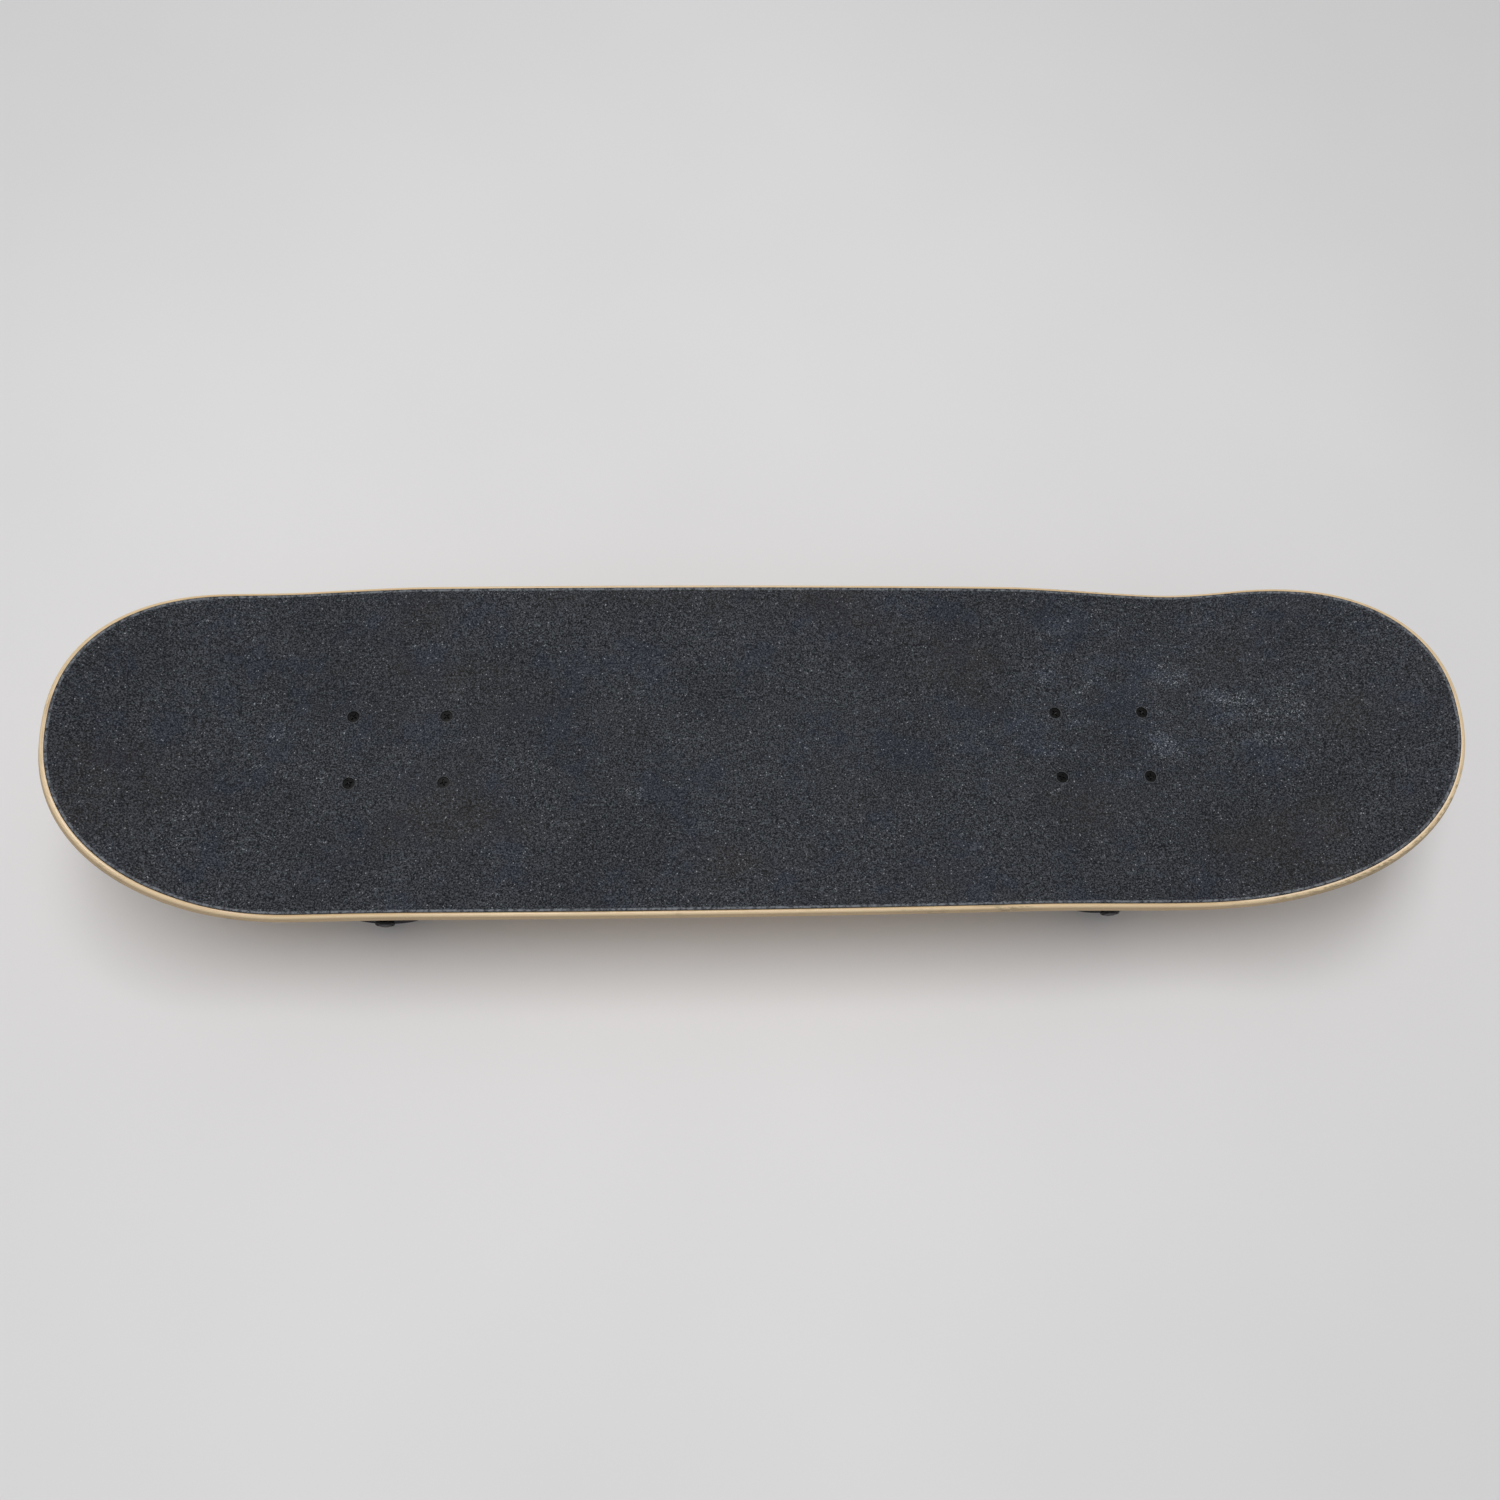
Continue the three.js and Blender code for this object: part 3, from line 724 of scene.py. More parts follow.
@dataclass(frozen=True)
class Urethane(Finish):
    """Cast urethane or moulded plastic, scuffed paler in patches."""

    body: Colour = (24, 25, 27)
    scuff: Colour = (58, 58, 58)
    gloss: tuple[float, float] = (0.36, 0.62)
    wear: float = 0.5
    clouds: Pattern = Pattern(55.0, 4.0, 0.6)
    scuffs: Pattern = Pattern(420.0, 5.0, 0.7, (1, 3, 1))
    fine: Pattern = Pattern(2200.0)
    patches: Span = Span(0.4, 0.65)
    marks: Span = Span(0.5, 0.68)
    dull_at: float = 0.7
    scuff_relief: Relief = Relief(0.3, 0.00008)
    fine_relief: Relief = Relief(0.35, 0.00004)

    def make(self) -> bpy.types.Material:
        """Faint clouds and fine scuffs over the body colour, duller where it is scuffed.

        Returns:
            The material.
        """
        graph = Graph(self.name)
        scuffs = graph.noise(self.scuffs)
        patches = graph.between(graph.noise(self.clouds), self.patches)
        worn = graph.product(patches, graph.between(scuffs, self.marks))
        scuffed = graph.bump(scuffs, self.scuff_relief)
        return graph.dress(
            base_color=graph.mix(graph.product(worn, self.wear), paint(self.body), paint(self.scuff)),
            roughness=graph.between(worn, Span(0.0, self.dull_at, *self.gloss)),
            normal=graph.bump(graph.noise(self.fine), self.fine_relief, scuffed),
        )


@dataclass(frozen=True)
class PlyEdge(Finish):
    """The deck's sanded edge, where its seven maple plies show as bands."""

    long_grain: Colour = (217, 194, 157)
    middle: Colour = (203, 175, 133)
    cross_grain: Colour = (178, 150, 108)
    glue: Colour = (150, 122, 84)
    dirt: Colour = (118, 108, 80)
    pale: Colour = (232, 214, 182)
    thickness: float = 0.011
    plies: tuple[tuple[float, float], ...] = (
        (0.0, 0.13),
        (0.17, 0.28),
        (0.32, 0.42),
        (0.47, 0.56),
        (0.6, 0.7),
        (0.74, 0.85),
        (0.89, 1.0),
    )
    glue_lines: tuple[float, ...] = (0.15, 0.3, 0.45, 0.58, 0.72, 0.87)
    worn_from: float = 0.27
    worn_fade: float = 0.06
    worn_side: float = -0.02
    side_fade: float = 0.03
    knocks: float = 0.85
    dirt_share: float = 0.75
    wander: Pattern = Pattern(35.0)
    fibres: Pattern = Pattern(1.0, 4.0, 0.65, (60, 60, 2600))
    pores: Pattern = Pattern(1.0, 2.0, 0.6, (900, 900, 1500))
    patches: Pattern = Pattern(26.0, 4.0, 0.65)
    grazes: Pattern = Pattern(240.0, 3.0, 0.7, (1, 1, 4))
    waver: Span = Span(0.2, 0.8, 0.0, 0.02)
    dark_fibres: Span = Span(0.45, 0.75, 0.0, 0.45)
    pale_pores: Span = Span(0.55, 0.75, 0.0, 0.4)
    worn_patches: Span = Span(0.52, 0.7, 0.0, 0.8)
    grazed: Span = Span(0.42, 0.6)
    # Painted shade: how far the edge's colour darkens over its lower rounded edge, towards the deck's lower
    # face.
    low_edge: Span = Span(0.0075, 0.011, 0.0, 0.5)
    gloss: Span = Span(0.0, 1.0, 0.55, 0.8)
    fibre_relief: Relief = Relief(0.4, 0.00012)
    graze_relief: Relief = Relief(0.35, 0.00025)

    def bands(self) -> tuple[Sequence[float], Sequence[Colour]]:
        """The places and colours of the plies and of the glue lines between them, from the top down.

        Returns:
            Places from 0 to 1 through the deck, and the colour at each.
        """
        half = (self.long_grain, self.middle, self.cross_grain)
        woods = (*half, self.middle, *reversed(half))
        stops = [(place, wood) for ply, wood in zip(self.plies, woods) for place in ply]
        stops += [(place, self.glue) for place in self.glue_lines]
        return tuple(zip(*sorted(stops)))

    def wear(self, graph: Graph, grazes: Socket) -> Socket:
        """Where the edge is worn: in patches, and along the nose's right side.

        Args:
            graph: The material's nodes.
            grazes: The noise that breaks the wear up.

        Returns:
            1 where the edge is worn.
        """
        along = graph.between(graph.axis("X"), Span(self.worn_from, self.worn_from + self.worn_fade))
        side = graph.between(graph.axis("Y"), Span(self.worn_side, self.worn_side - self.side_fade))
        knocked = graph.product(along, side, self.knocks)
        patches = graph.between(graph.noise(self.patches), self.worn_patches)
        return graph.product(graph.combine("MAXIMUM", patches, knocked), graph.between(grazes, self.grazed))

    def make(self) -> bpy.types.Material:
        """Bands by depth through the deck, with fibres along the edge, worn, darker stretches and painted
        shade on the lower rounded edge.

        Returns:
            The material.
        """
        graph = Graph(self.name)
        depth = graph.combine("DIVIDE", graph.attribute("depth"), self.thickness)
        wavy = graph.combine("ADD", depth, graph.between(graph.noise(self.wander), self.waver))
        plies = graph.ramp(wavy, *self.bands())
        fibres = graph.noise(self.fibres)
        pores = graph.noise(self.pores)
        grazes = graph.noise(self.grazes)
        fibrous = graph.mix(graph.between(fibres, self.dark_fibres), plies, paint(self.cross_grain))
        pale = graph.mix(graph.between(pores, self.pale_pores), fibrous, paint(self.pale))
        worn = self.wear(graph, grazes)
        # Painted shade: the edge's colour is multiplied darker towards the deck's lower face.
        low_edge = graph.between(graph.attribute("depth"), self.low_edge)
        grimy = graph.mix(graph.product(worn, self.dirt_share), pale, paint(self.dirt))
        return graph.dress(
            base_color=graph.mix(low_edge, grimy, paint(self.cross_grain), "MULTIPLY"),
            roughness=graph.between(worn, self.gloss),
            normal=graph.bump(fibres, self.fibre_relief, graph.bump(grazes, self.graze_relief)),
        )


@dataclass(frozen=True)
class Veneer(Finish):
    """The deck's face ply: lacquered maple with its grain along the board, slid on and scratched."""

    pale: Colour = (218, 190, 148)
    deep: Colour = (190, 154, 106)
    pore: Colour = (158, 122, 80)
    scratch: Colour = (236, 222, 196)
    grime: Colour = (96, 88, 76)
    figure: Pattern = Pattern(1.0, 5.0, 0.62, (2.2, 42, 8))
    pores: Pattern = Pattern(1.0, 3.0, 0.65, (55, 1900, 200))
    scratches: Pattern = Pattern(1.0, 3.0, 0.7, (650, 7, 7), 8.0)
    clouds: Pattern = Pattern(14.0, 4.0, 0.6)
    grain_tones: tuple[float, float, float] = (0.3, 0.5, 0.7)
    dark_pores: Span = Span(0.56, 0.74, 0.0, 0.5)
    middle: Span = Span(0.15, 0.05)
    scratched: Span = Span(0.56, 0.66)
    patches: Span = Span(0.4, 0.6)
    slid_elsewhere: float = 0.15
    scratch_share: float = 0.45
    soiled: Span = Span(0.56, 0.75, 0.0, 0.35)
    gloss: Span = Span(0.0, 1.0, 0.34, 0.7)
    pore_relief: Relief = Relief(0.25, 0.00006)
    scratch_relief: Relief = Relief(0.12, 0.0001)
    lacquer: float = 0.25
    lacquer_roughness: float = 0.3

    def make(self) -> bpy.types.Material:
        """Grain stretched along X, fine pores, slide scratches across the middle and grime in patches.

        Returns:
            The material.
        """
        graph = Graph(self.name)
        pores = graph.noise(self.pores)
        scratches = graph.noise(self.scratches)
        clouds = graph.noise(self.clouds)
        grain = graph.ramp(graph.noise(self.figure), self.grain_tones, (self.deep, self.pale, self.deep))
        porous = graph.mix(graph.between(pores, self.dark_pores), grain, paint(self.pore))
        middle = graph.between(graph.combine("ABSOLUTE", graph.axis("X")), self.middle)
        reach = graph.combine("ADD", middle, self.slid_elsewhere)
        patches = graph.between(clouds, self.patches)
        slid = graph.product(graph.between(scratches, self.scratched), patches, reach)
        scuffed = graph.mix(graph.product(slid, self.scratch_share), porous, paint(self.scratch))
        return graph.dress(
            base_color=graph.mix(graph.between(clouds, self.soiled), scuffed, paint(self.grime)),
            roughness=graph.between(slid, self.gloss),
            normal=graph.bump(pores, self.pore_relief, graph.bump(scratches, self.scratch_relief)),
            coat_weight=self.lacquer,
            coat_roughness=self.lacquer_roughness,
        )


@dataclass(frozen=True)
class Scuff:
    """A powdery stroke on the tape, an ellipse seen from above. Lengths in metres, its turn in degrees."""

    place: tuple[float, float]
    size: tuple[float, float]
    turn: float
    height: float = 0.08


SCUFFS = (
    Scuff((0.174, 0.045), (0.014, 0.0035), 66),
    Scuff((0.189, 0.078), (0.011, 0.0045), 48),
    Scuff((0.207, 0.086), (0.009, 0.003), 30),
    Scuff((0.195, 0.035), (0.015, 0.0035), 40),
    Scuff((0.248, 0.051), (0.026, 0.0055), -15),
    Scuff((0.252, 0.043), (0.019, 0.009), 18),
    Scuff((0.284, 0.027), (0.024, 0.008), -19),
    Scuff((0.315, 0.025), (0.017, 0.007), -42),
    Scuff((0.307, 0.014), (0.028, 0.006), -8),
    Scuff((0.243, -0.001), (0.019, 0.011), -30),
    Scuff((0.302, -0.001), (0.02, 0.006), -16),
    Scuff((0.174, -0.028), (0.009, 0.0022), 34),
    Scuff((0.243, -0.081), (0.007, 0.003), 25),
    Scuff((-0.327, -0.04), (0.014, 0.006), 43),
    Scuff((-0.294, -0.01), (0.006, 0.0028), 46),
    Scuff((-0.285, 0.009), (0.009, 0.0055), 55),
    Scuff((-0.077, -0.027), (0.01, 0.004), -1),
    Scuff((-0.406, 0.058), (0.009, 0.0028), 76),
    Scuff((-0.258, -0.017), (0.006, 0.003), 34),
    Scuff((-0.329, -0.058), (0.007, 0.003), 70),
)


@dataclass(frozen=True)
class Grit(Finish):
    """Abrasive grip tape: pale grains in a dark resin, rubbed along the edge, dusty and scuffed."""

    resin: Colour = (7, 8, 10)
    ground: Colour = (22, 24, 27)
    grain: Colour = (90, 94, 101)
    spark: Colour = (206, 210, 214)
    cool: Colour = (33, 42, 62)
    warm: Colour = (50, 44, 41)
    rubbed: Colour = (118, 122, 127)
    dust: Colour = (84, 94, 116)
    powder: Colour = (150, 157, 168)
    shine: float = 0.18
    fine: Pattern = Pattern(1080.0, 3.0, 0.74)
    coarse: Pattern = Pattern(520.0, 2.0, 0.6)
    clouds: Pattern = Pattern(30.0, 5.0, 0.68)
    drift: Pattern = Pattern(11.0, 3.0, 0.55, (1, 1.6, 1), 30.0)
    broad: Pattern = Pattern(17.0, 3.0, 0.6, (1, 1, 1), 60.0)
    smears: Pattern = Pattern(34.0, 5.0, 0.7, (1, 2.2, 1), -25.0)
    broken: Pattern = Pattern(330.0, 4.0, 0.8, (1, 1.7, 1), 40.0)
    frayed: Pattern = Pattern(420.0, 3.0, 0.75)
    base_tones: tuple[float, float, float] = (0.3, 0.47, 0.7)
    lumps: Span = Span(0.5, 0.72, 0.0, 0.28)
    deep_patches: Span = Span(0.44, 0.62, 0.0, 0.2)
    cool_patches: Span = Span(0.46, 0.68, 0.0, 0.25)
    warm_patches: Span = Span(0.5, 0.68, 0.0, 0.24)
    gloss: Span = Span(0.35, 0.65, 0.9, 0.62)
    coarse_relief: Relief = Relief(0.5, 0.0005)
    fine_relief: Relief = Relief(0.6, 0.00035)
    dust_from: tuple[float, float] = (0.15, -0.03)
    dust_to: tuple[float, float] = (0.31, 0.08)
    dust_fade: float = 0.035
    smeared: Span = Span(0.48, 0.68)
    film: Span = Span(0.42, 0.6, 0.15, 0.75)
    film_share: float = 0.3
    stroke_edge: Span = Span(0.0, 0.7)
    stroke_breaks: Span = Span(0.38, 0.58)
    powder_grains: Span = Span(0.48, 0.62)
    powder_share: float = 0.12
    chip_scale: float = 860.0
    chip_size: Span = Span(0.34, 0.16)
    chip_patches: Span = Span(0.44, 0.56)
    chip_share: float = 0.62
    spark_scale: float = 680.0
    spark_size: Span = Span(0.28, 0.12)
    spark_patches: Span = Span(0.55, 0.66)
    spark_share: float = 0.5
    spark_lift: float = 0.14
    edge: float = 0.0022
    band: float = 0.0019
    band_fade: float = 0.3
    band_share: float = 0.85
    ragged: Span = Span(0.38, 0.6, 0.1, 1.0)
    line: tuple[float, float] = (0.0005, 0.0002)
    line_share: float = 0.75

    def dusty(self, graph: Graph) -> Socket:
        """Smears of dust in a soft rectangle round the front truck.

        Args:
            graph: The material's nodes.

        Returns:
            1 where the tape is dustiest.
        """
        shares = []
        for label, start, end in zip("XY", self.dust_from, self.dust_to):
            value = graph.axis(label)
            shares.append(graph.between(value, Span(start - self.dust_fade, start + self.dust_fade)))
            shares.append(graph.between(value, Span(end + self.dust_fade, end - self.dust_fade)))
        region = graph.product(*shares)
        return graph.product(region, graph.between(graph.noise(self.smears), self.smeared))

    def strokes(self, graph: Graph) -> Socket:
        """The scuffs' ellipses together, broken up by the grains that they miss.

        Args:
            graph: The material's nodes.

        Returns:
            1 where powder lies.
        """
        whole = graph.combine("MAXIMUM", *[graph.blot(scuff) for scuff in SCUFFS])
        breaks = graph.between(graph.noise(self.broken), self.stroke_breaks)
        return graph.product(graph.between(whole, self.stroke_edge), breaks)

    def clouded(self, graph: Graph, fine: Socket, coarse: Socket) -> Socket:
        """The grains' own colour, with deeper, cooler and warmer patches.

        Args:
            graph: The material's nodes.
            fine: The noise of the grains.
            coarse: The noise of the lumps.

        Returns:
            The colour.
        """
        base = graph.ramp(fine, self.base_tones, (self.resin, self.ground, self.grain))
        lumpy = graph.mix(graph.between(coarse, self.lumps), base, paint(self.grain))
        deep = graph.mix(graph.between(graph.noise(self.broad), self.deep_patches), lumpy, paint(self.resin))
        cool = graph.mix(graph.between(graph.noise(self.clouds), self.cool_patches), deep, paint(self.cool))
        return graph.mix(graph.between(graph.noise(self.drift), self.warm_patches), cool, paint(self.warm))

    def edged(self, graph: Graph, tone: Socket) -> Socket:
        """The tape's colour with a rubbed, ragged band along its edge and a dark line inside the band.

        Args:
            graph: The material's nodes.
            tone: The tape's colour elsewhere.

        Returns:
            The colour.
        """
        inset = graph.attribute("inset")
        inner = self.edge + self.band
        ragged = graph.between(graph.noise(self.frayed), self.ragged)
        band = graph.product(graph.between(inset, Span(inner, inner - self.band_fade * self.band)), ragged)
        start, end = self.line
        line = graph.between(inset, Span(self.edge + start, self.edge + end))
        rubbed = graph.mix(graph.product(band, self.band_share), tone, paint(self.rubbed))
        return graph.mix(graph.product(line, self.line_share), rubbed, paint(self.resin))

    def make(self) -> bpy.types.Material:
        """Grains over clouded resin, with sparks, a film of dust, powdery strokes and a rubbed band.

        Returns:
            The material.
        """
        graph = Graph(self.name)
        fine = graph.noise(self.fine)
        coarse = graph.noise(self.coarse)
        dusty = self.dusty(graph)
        stroke = self.strokes(graph)
        loose = graph.product(graph.combine("MAXIMUM", dusty, stroke), self.spark_lift)
        loose = graph.between(graph.combine("ADD", coarse, loose), self.spark_patches)
        sparks = graph.product(graph.between(graph.cells(self.spark_scale), self.spark_size), loose)
        chips = graph.between(graph.cells(self.chip_scale), self.chip_size)
        chips = graph.product(chips, stroke, graph.between(coarse, self.chip_patches))
        film = graph.product(dusty, graph.between(fine, self.film))
        grains = graph.product(stroke, graph.between(fine, self.powder_grains))
        tone = self.clouded(graph, fine, coarse)
        for mask, share, colour in (
            (sparks, self.spark_share, self.spark),
            (film, self.film_share, self.dust),
            (grains, self.powder_share, self.powder),
            (chips, self.chip_share, self.spark),
        ):
            tone = graph.mix(graph.product(mask, share), tone, paint(colour))
        graph.shader.inputs["Specular IOR Level"].default_value = self.shine
        return graph.dress(
            base_color=self.edged(graph, tone),
            roughness=graph.between(fine, self.gloss),
            normal=graph.bump(coarse, self.coarse_relief, graph.bump(fine, self.fine_relief)),
        )


@dataclass(frozen=True)
class Paper(Finish):
    """The pale torn fibres of the tape's backing."""

    tone: Colour = (88, 90, 92)
    dark: Colour = (24, 25, 27)
    flecks: Pattern = Pattern(1400.0, 3.0, 0.7)
    tones: tuple[float, float] = (0.35, 0.6)
    gloss: Span = Span(0.3, 0.7, 0.8, 0.95)
    relief: Relief = Relief(0.5, 0.0001)

    def make(self) -> bpy.types.Material:
        """Ragged pale and dark flecks.

        Returns:
            The material.
        """
        graph = Graph(self.name)
        flecks = graph.noise(self.flecks)
        return graph.dress(
            base_color=graph.ramp(flecks, self.tones, (self.dark, self.tone)),
            roughness=graph.between(flecks, self.gloss),
            normal=graph.bump(flecks, self.relief),
        )


# The kinds of ray that see the studio's backdrop.
SEEN_BY = ("Camera", "Glossy", "Transmission")


@dataclass(frozen=True)
class StudioFloor(Finish):
    """A plain pale floor with a very faint mottle, which fades into the backdrop far from the board."""

    pale: Colour = (225, 224, 225)
    shade: Colour = (220, 219, 220)
    backdrop: Colour = (214, 213, 214)
    fade: Span = Span(1.0, 3.0)
    clouds: Pattern = Pattern(2.5, 3.0)
    fine: Pattern = Pattern(500.0)
    tones: tuple[float, float] = (0.3, 0.7)
    relief: Relief = Relief(0.1, 0.0001)
    dullness: float = 0.85

    def make(self) -> bpy.types.Material:
        """Two close tones in broad clouds, and the backdrop's colour by distance, in reflections too.

        Returns:
            The material.
        """
        graph = Graph(self.name)
        graph.dress(
            base_color=graph.ramp(graph.noise(self.clouds), self.tones, (self.shade, self.pale)),
            roughness=self.dullness,
            normal=graph.bump(graph.noise(self.fine), self.relief),
        )
        reach = graph.nodes.new("ShaderNodeVectorMath")
        reach.operation = "LENGTH"
        graph.links.new(graph.place(), reach.inputs[0])
        path = graph.nodes.new("ShaderNodeLightPath")
        rays = graph.combine("ADD", *[path.outputs[f"Is {kind} Ray"] for kind in SEEN_BY])
        glow = graph.nodes.new("ShaderNodeEmission")
        glow.inputs["Color"].default_value = paint(self.backdrop)
        mixed = graph.nodes.new("ShaderNodeMixShader")
        far = graph.between(reach.outputs["Value"], self.fade)
        graph.links.new(graph.product(far, rays), mixed.inputs["Fac"])
        graph.links.new(graph.shader.outputs["BSDF"], mixed.inputs[1])
        graph.links.new(glow.outputs["Emission"], mixed.inputs[2])
        graph.links.new(mixed.outputs["Shader"], graph.output.inputs["Surface"])
        return graph.material


MAPLE_EDGE = PlyEdge("maple_edge")
MAPLE_FACE = Veneer("maple_face")
TAPE_GRIT = Grit("tape_grit")
TAPE_PAPER = Paper("tape_paper")
CASTING = GroundCasting("cast_aluminium")
BLACK_OXIDE = Metal(
    "black_oxide",
    bright=(15, 15, 17),
    dull=(6, 6, 7),
    gloss=(0.24, 0.44),
    grain=1800.0,
    depth=0.00003,
    metallic=0.3,
    shine=0.15,
)
DARK_STEEL = Metal(
    "dark_kingpin_steel",
    bright=(70, 70, 72),
    dull=(34, 34, 36),
    gloss=(0.28, 0.5),
    grain=1500.0,
    depth=0.00003,
    metallic=0.9,
)
ZINC = Metal("zinc_plate", bright=(198, 198, 196), dull=(150, 150, 150), gloss=(0.22, 0.42), grain=1900.0)
RACE_STEEL = Metal(
    "race_steel",
    bright=(206, 208, 210),
    dull=(160, 162, 165),
    gloss=(0.12, 0.3),
    grain=2600.0,
    depth=0.00001,
    stretch=(1, 8, 1),
)
SHIELD_STEEL = Metal(
    "shield_steel",
    bright=(78, 80, 84),
    dull=(46, 48, 52),
    gloss=(0.35, 0.55),
    grain=1600.0,
    metallic=0.8,
)
WHEEL_BLACK = Urethane("wheel_urethane")
BUSHING_BLACK = Urethane(
    "bushing_urethane", body=(28, 28, 31), scuff=(54, 54, 58), gloss=(0.28, 0.5), wear=0.35
)
CUP_BLACK = Urethane("cup_urethane", body=(22, 22, 24), scuff=(48, 48, 48), gloss=(0.45, 0.65), wear=0.3)
NYLON = Urethane("lock_nylon", body=(206, 204, 196), scuff=(170, 166, 156), gloss=(0.4, 0.6))


# ---- Deck ----------------------------------------------------------------------------------------------


@dataclass(frozen=True)
class DeckEnd:
    """One end of the deck. Lengths are arc lengths from the middle between the trucks."""

    end: End
    tip: float
    curve_start: float
    length_power: float
    width_power: float
    kick_start: float
    kick_angle: float
    bend_radius: float
    taper: float
    tip_concave: float
    fade_start: float
    fade_length: float


def smooth_step(value: Array) -> Array:
    """3 v squared less 2 v cubed, with v kept from 0 to 1."""
    share = np.clip(value, 0, 1)
    return share * share * (3 - 2 * share)


@dataclass(frozen=True)
class DeckShape:
    """The bent surface that the deck and its tape share."""

    half_width: float = 103.0
    thickness: float = 11.0
    tape: float = 0.7
    taper_length: float = 240.0
    concave_height: float = 9.7
    flat_share: float = 0.15
    concave_power: float = 1.8
    station_power: float = 1.9
    spine_inset: float = 94.0
    columns_per_end: int = 200
    nose: DeckEnd = DeckEnd(
        End.NOSE,
        tip=415.4,
        curve_start=270.6,
        length_power=2.71,
        width_power=2.19,
        kick_start=257.2,
        kick_angle=23.2,
        bend_radius=111.6,
        taper=1.9,
        tip_concave=0.2,
        fade_start=152,
        fade_length=114,
    )
    tail: DeckEnd = DeckEnd(
        End.TAIL,
        tip=401.9,
        curve_start=256,
        length_power=2.64,
        width_power=2.24,
        kick_start=262.8,
        kick_angle=23.1,
        bend_radius=136.8,
        taper=1.8,
        tip_concave=2.5,
        fade_start=192,
        fade_length=115,
    )

    @property
    def deck_top(self) -> float:
        """Depth of the wood's upper face below the riding surface."""
        return self.tape + GAP

    @property
    def underside(self) -> float:
        """Depth of the wood's lower face below the riding surface."""
        return self.deck_top + self.thickness

    @property
    def origin(self) -> Array:
        """Where the middle of the riding surface lies in the row frame, in millimetres."""
        mounts = {mount["name"]: mount["pos_m"] for mount in frame["record"]["mounts"]}
        return np.array(mounts["deck_top"]) / MM

    def here(self, x: float, y: float, z: float = 0.0) -> Vector:
        """A place given from the middle of the riding surface, in the row frame."""
        return Vector((x, y, z)) + Vector(self.origin)

    def width_at(self, end: DeckEnd, a: Array, inset: float) -> Array:
        """Half the outline's width.

        The waist narrows with the square of the distance, and each end closes on the curve
        (1 - u to the length power) to the power 1 / width power.

        Args:
            end: Which end of the deck.
            a: Arc lengths towards that end.
            inset: How far the outline is moved in.

        Returns:
            The half widths.
        """
        widest = self.half_width - inset - end.taper * (a / self.taper_length) ** 2
        u = np.clip((a - end.curve_start) / (end.tip - inset - end.curve_start), 0, 1)
        return widest * (1 - u**end.length_power) ** (1 / end.width_power)

    def bent(self, end: DeckEnd, a: Array, y: Array, depth: Array) -> Array:
        """Places below the riding surface: a straight middle, a circular bend, then a straight kick.

        The sides curve up by the concave height times the share of the half width outside the flat
        strip, to the concave power, which fades towards the tip.

        Args:
            end: Which end of the deck.
            a: Arc lengths towards that end.
            y: Distances from the centreline, with their sign.
            depth: Depths below the riding surface.

        Returns:
            The points in millimetres, in the deck's own frame.
        """
        kick = math.radians(end.kick_angle)
        bend = end.bend_radius
        angle = np.clip((a - end.kick_start) / bend, 0, kick)
        straight = np.maximum(a - end.kick_start - bend * kick, 0)
        along = np.minimum(a, end.kick_start) + bend * np.sin(angle) + straight * np.cos(angle)
        up = bend * (1 - np.cos(angle)) + straight * np.sin(angle)
        fade = smooth_step((a - end.fade_start) / end.fade_length)
        height = self.concave_height + (end.tip_concave - self.concave_height) * fade
        side = np.maximum(np.abs(y) / self.half_width - self.flat_share, 0) / (1 - self.flat_share)
        lift = height * side**self.concave_power - depth
        x = end.end.value * (along - lift * np.sin(angle))
        return np.stack([x, y, up + lift * np.cos(angle)], axis=-1)

    def layer(self, section: Sequence[tuple[float, float]]) -> tuple[Shell, dict[str, Array]]:
        """A closed layer of the deck.

        A section of insets and depths, from the spine out to the edge and back, is carried round
        the outline on both sides of the board. Column s runs from -1 at the tail's tip to 1 at the
        nose's, at arc length (tip - inset) times 1 - (1 - |s|) to the station power.

        Args:
            section: Insets and depths. The first and the last pair lie on the spine.

        Returns:
            The shell in the row frame, and the inset and depth at each point in metres.
        """
        share = np.linspace(-1, 1, 2 * self.columns_per_end + 1)
        reach = 1 - (1 - np.abs(share)) ** self.station_power
        last = len(section) - 1
        halves = []
        for side in (1, -1):
            rows = []
            for number, (inset, depth) in enumerate(section):
                ends = []
                for end, columns in ((self.tail, share < 0), (self.nose, share >= 0)):
                    a = (end.tip - inset) * reach[columns]
                    width = self.width_at(end, a, inset)
                    y = side * (np.zeros_like(a) if number in (0, last) else width)
                    ends.append(self.bent(end, a, y, np.full_like(a, depth)))
                rows.append(np.concatenate(ends))
            points = np.array(rows).reshape(-1, 3) + self.origin
            faces = grid_faces(len(section), len(share), False, False)
            halves.append(Shell(points, faces if side > 0 else faces[:, ::-1]))
        table = np.array(section, float) * MM
        numbers = [np.tile(np.repeat(column, len(share)), 2) for column in table.T]
        depths = np.clip(numbers[1] - self.deck_top * MM, 0, None)
        return together(halves), {"inset": numbers[0], "depth": depths}


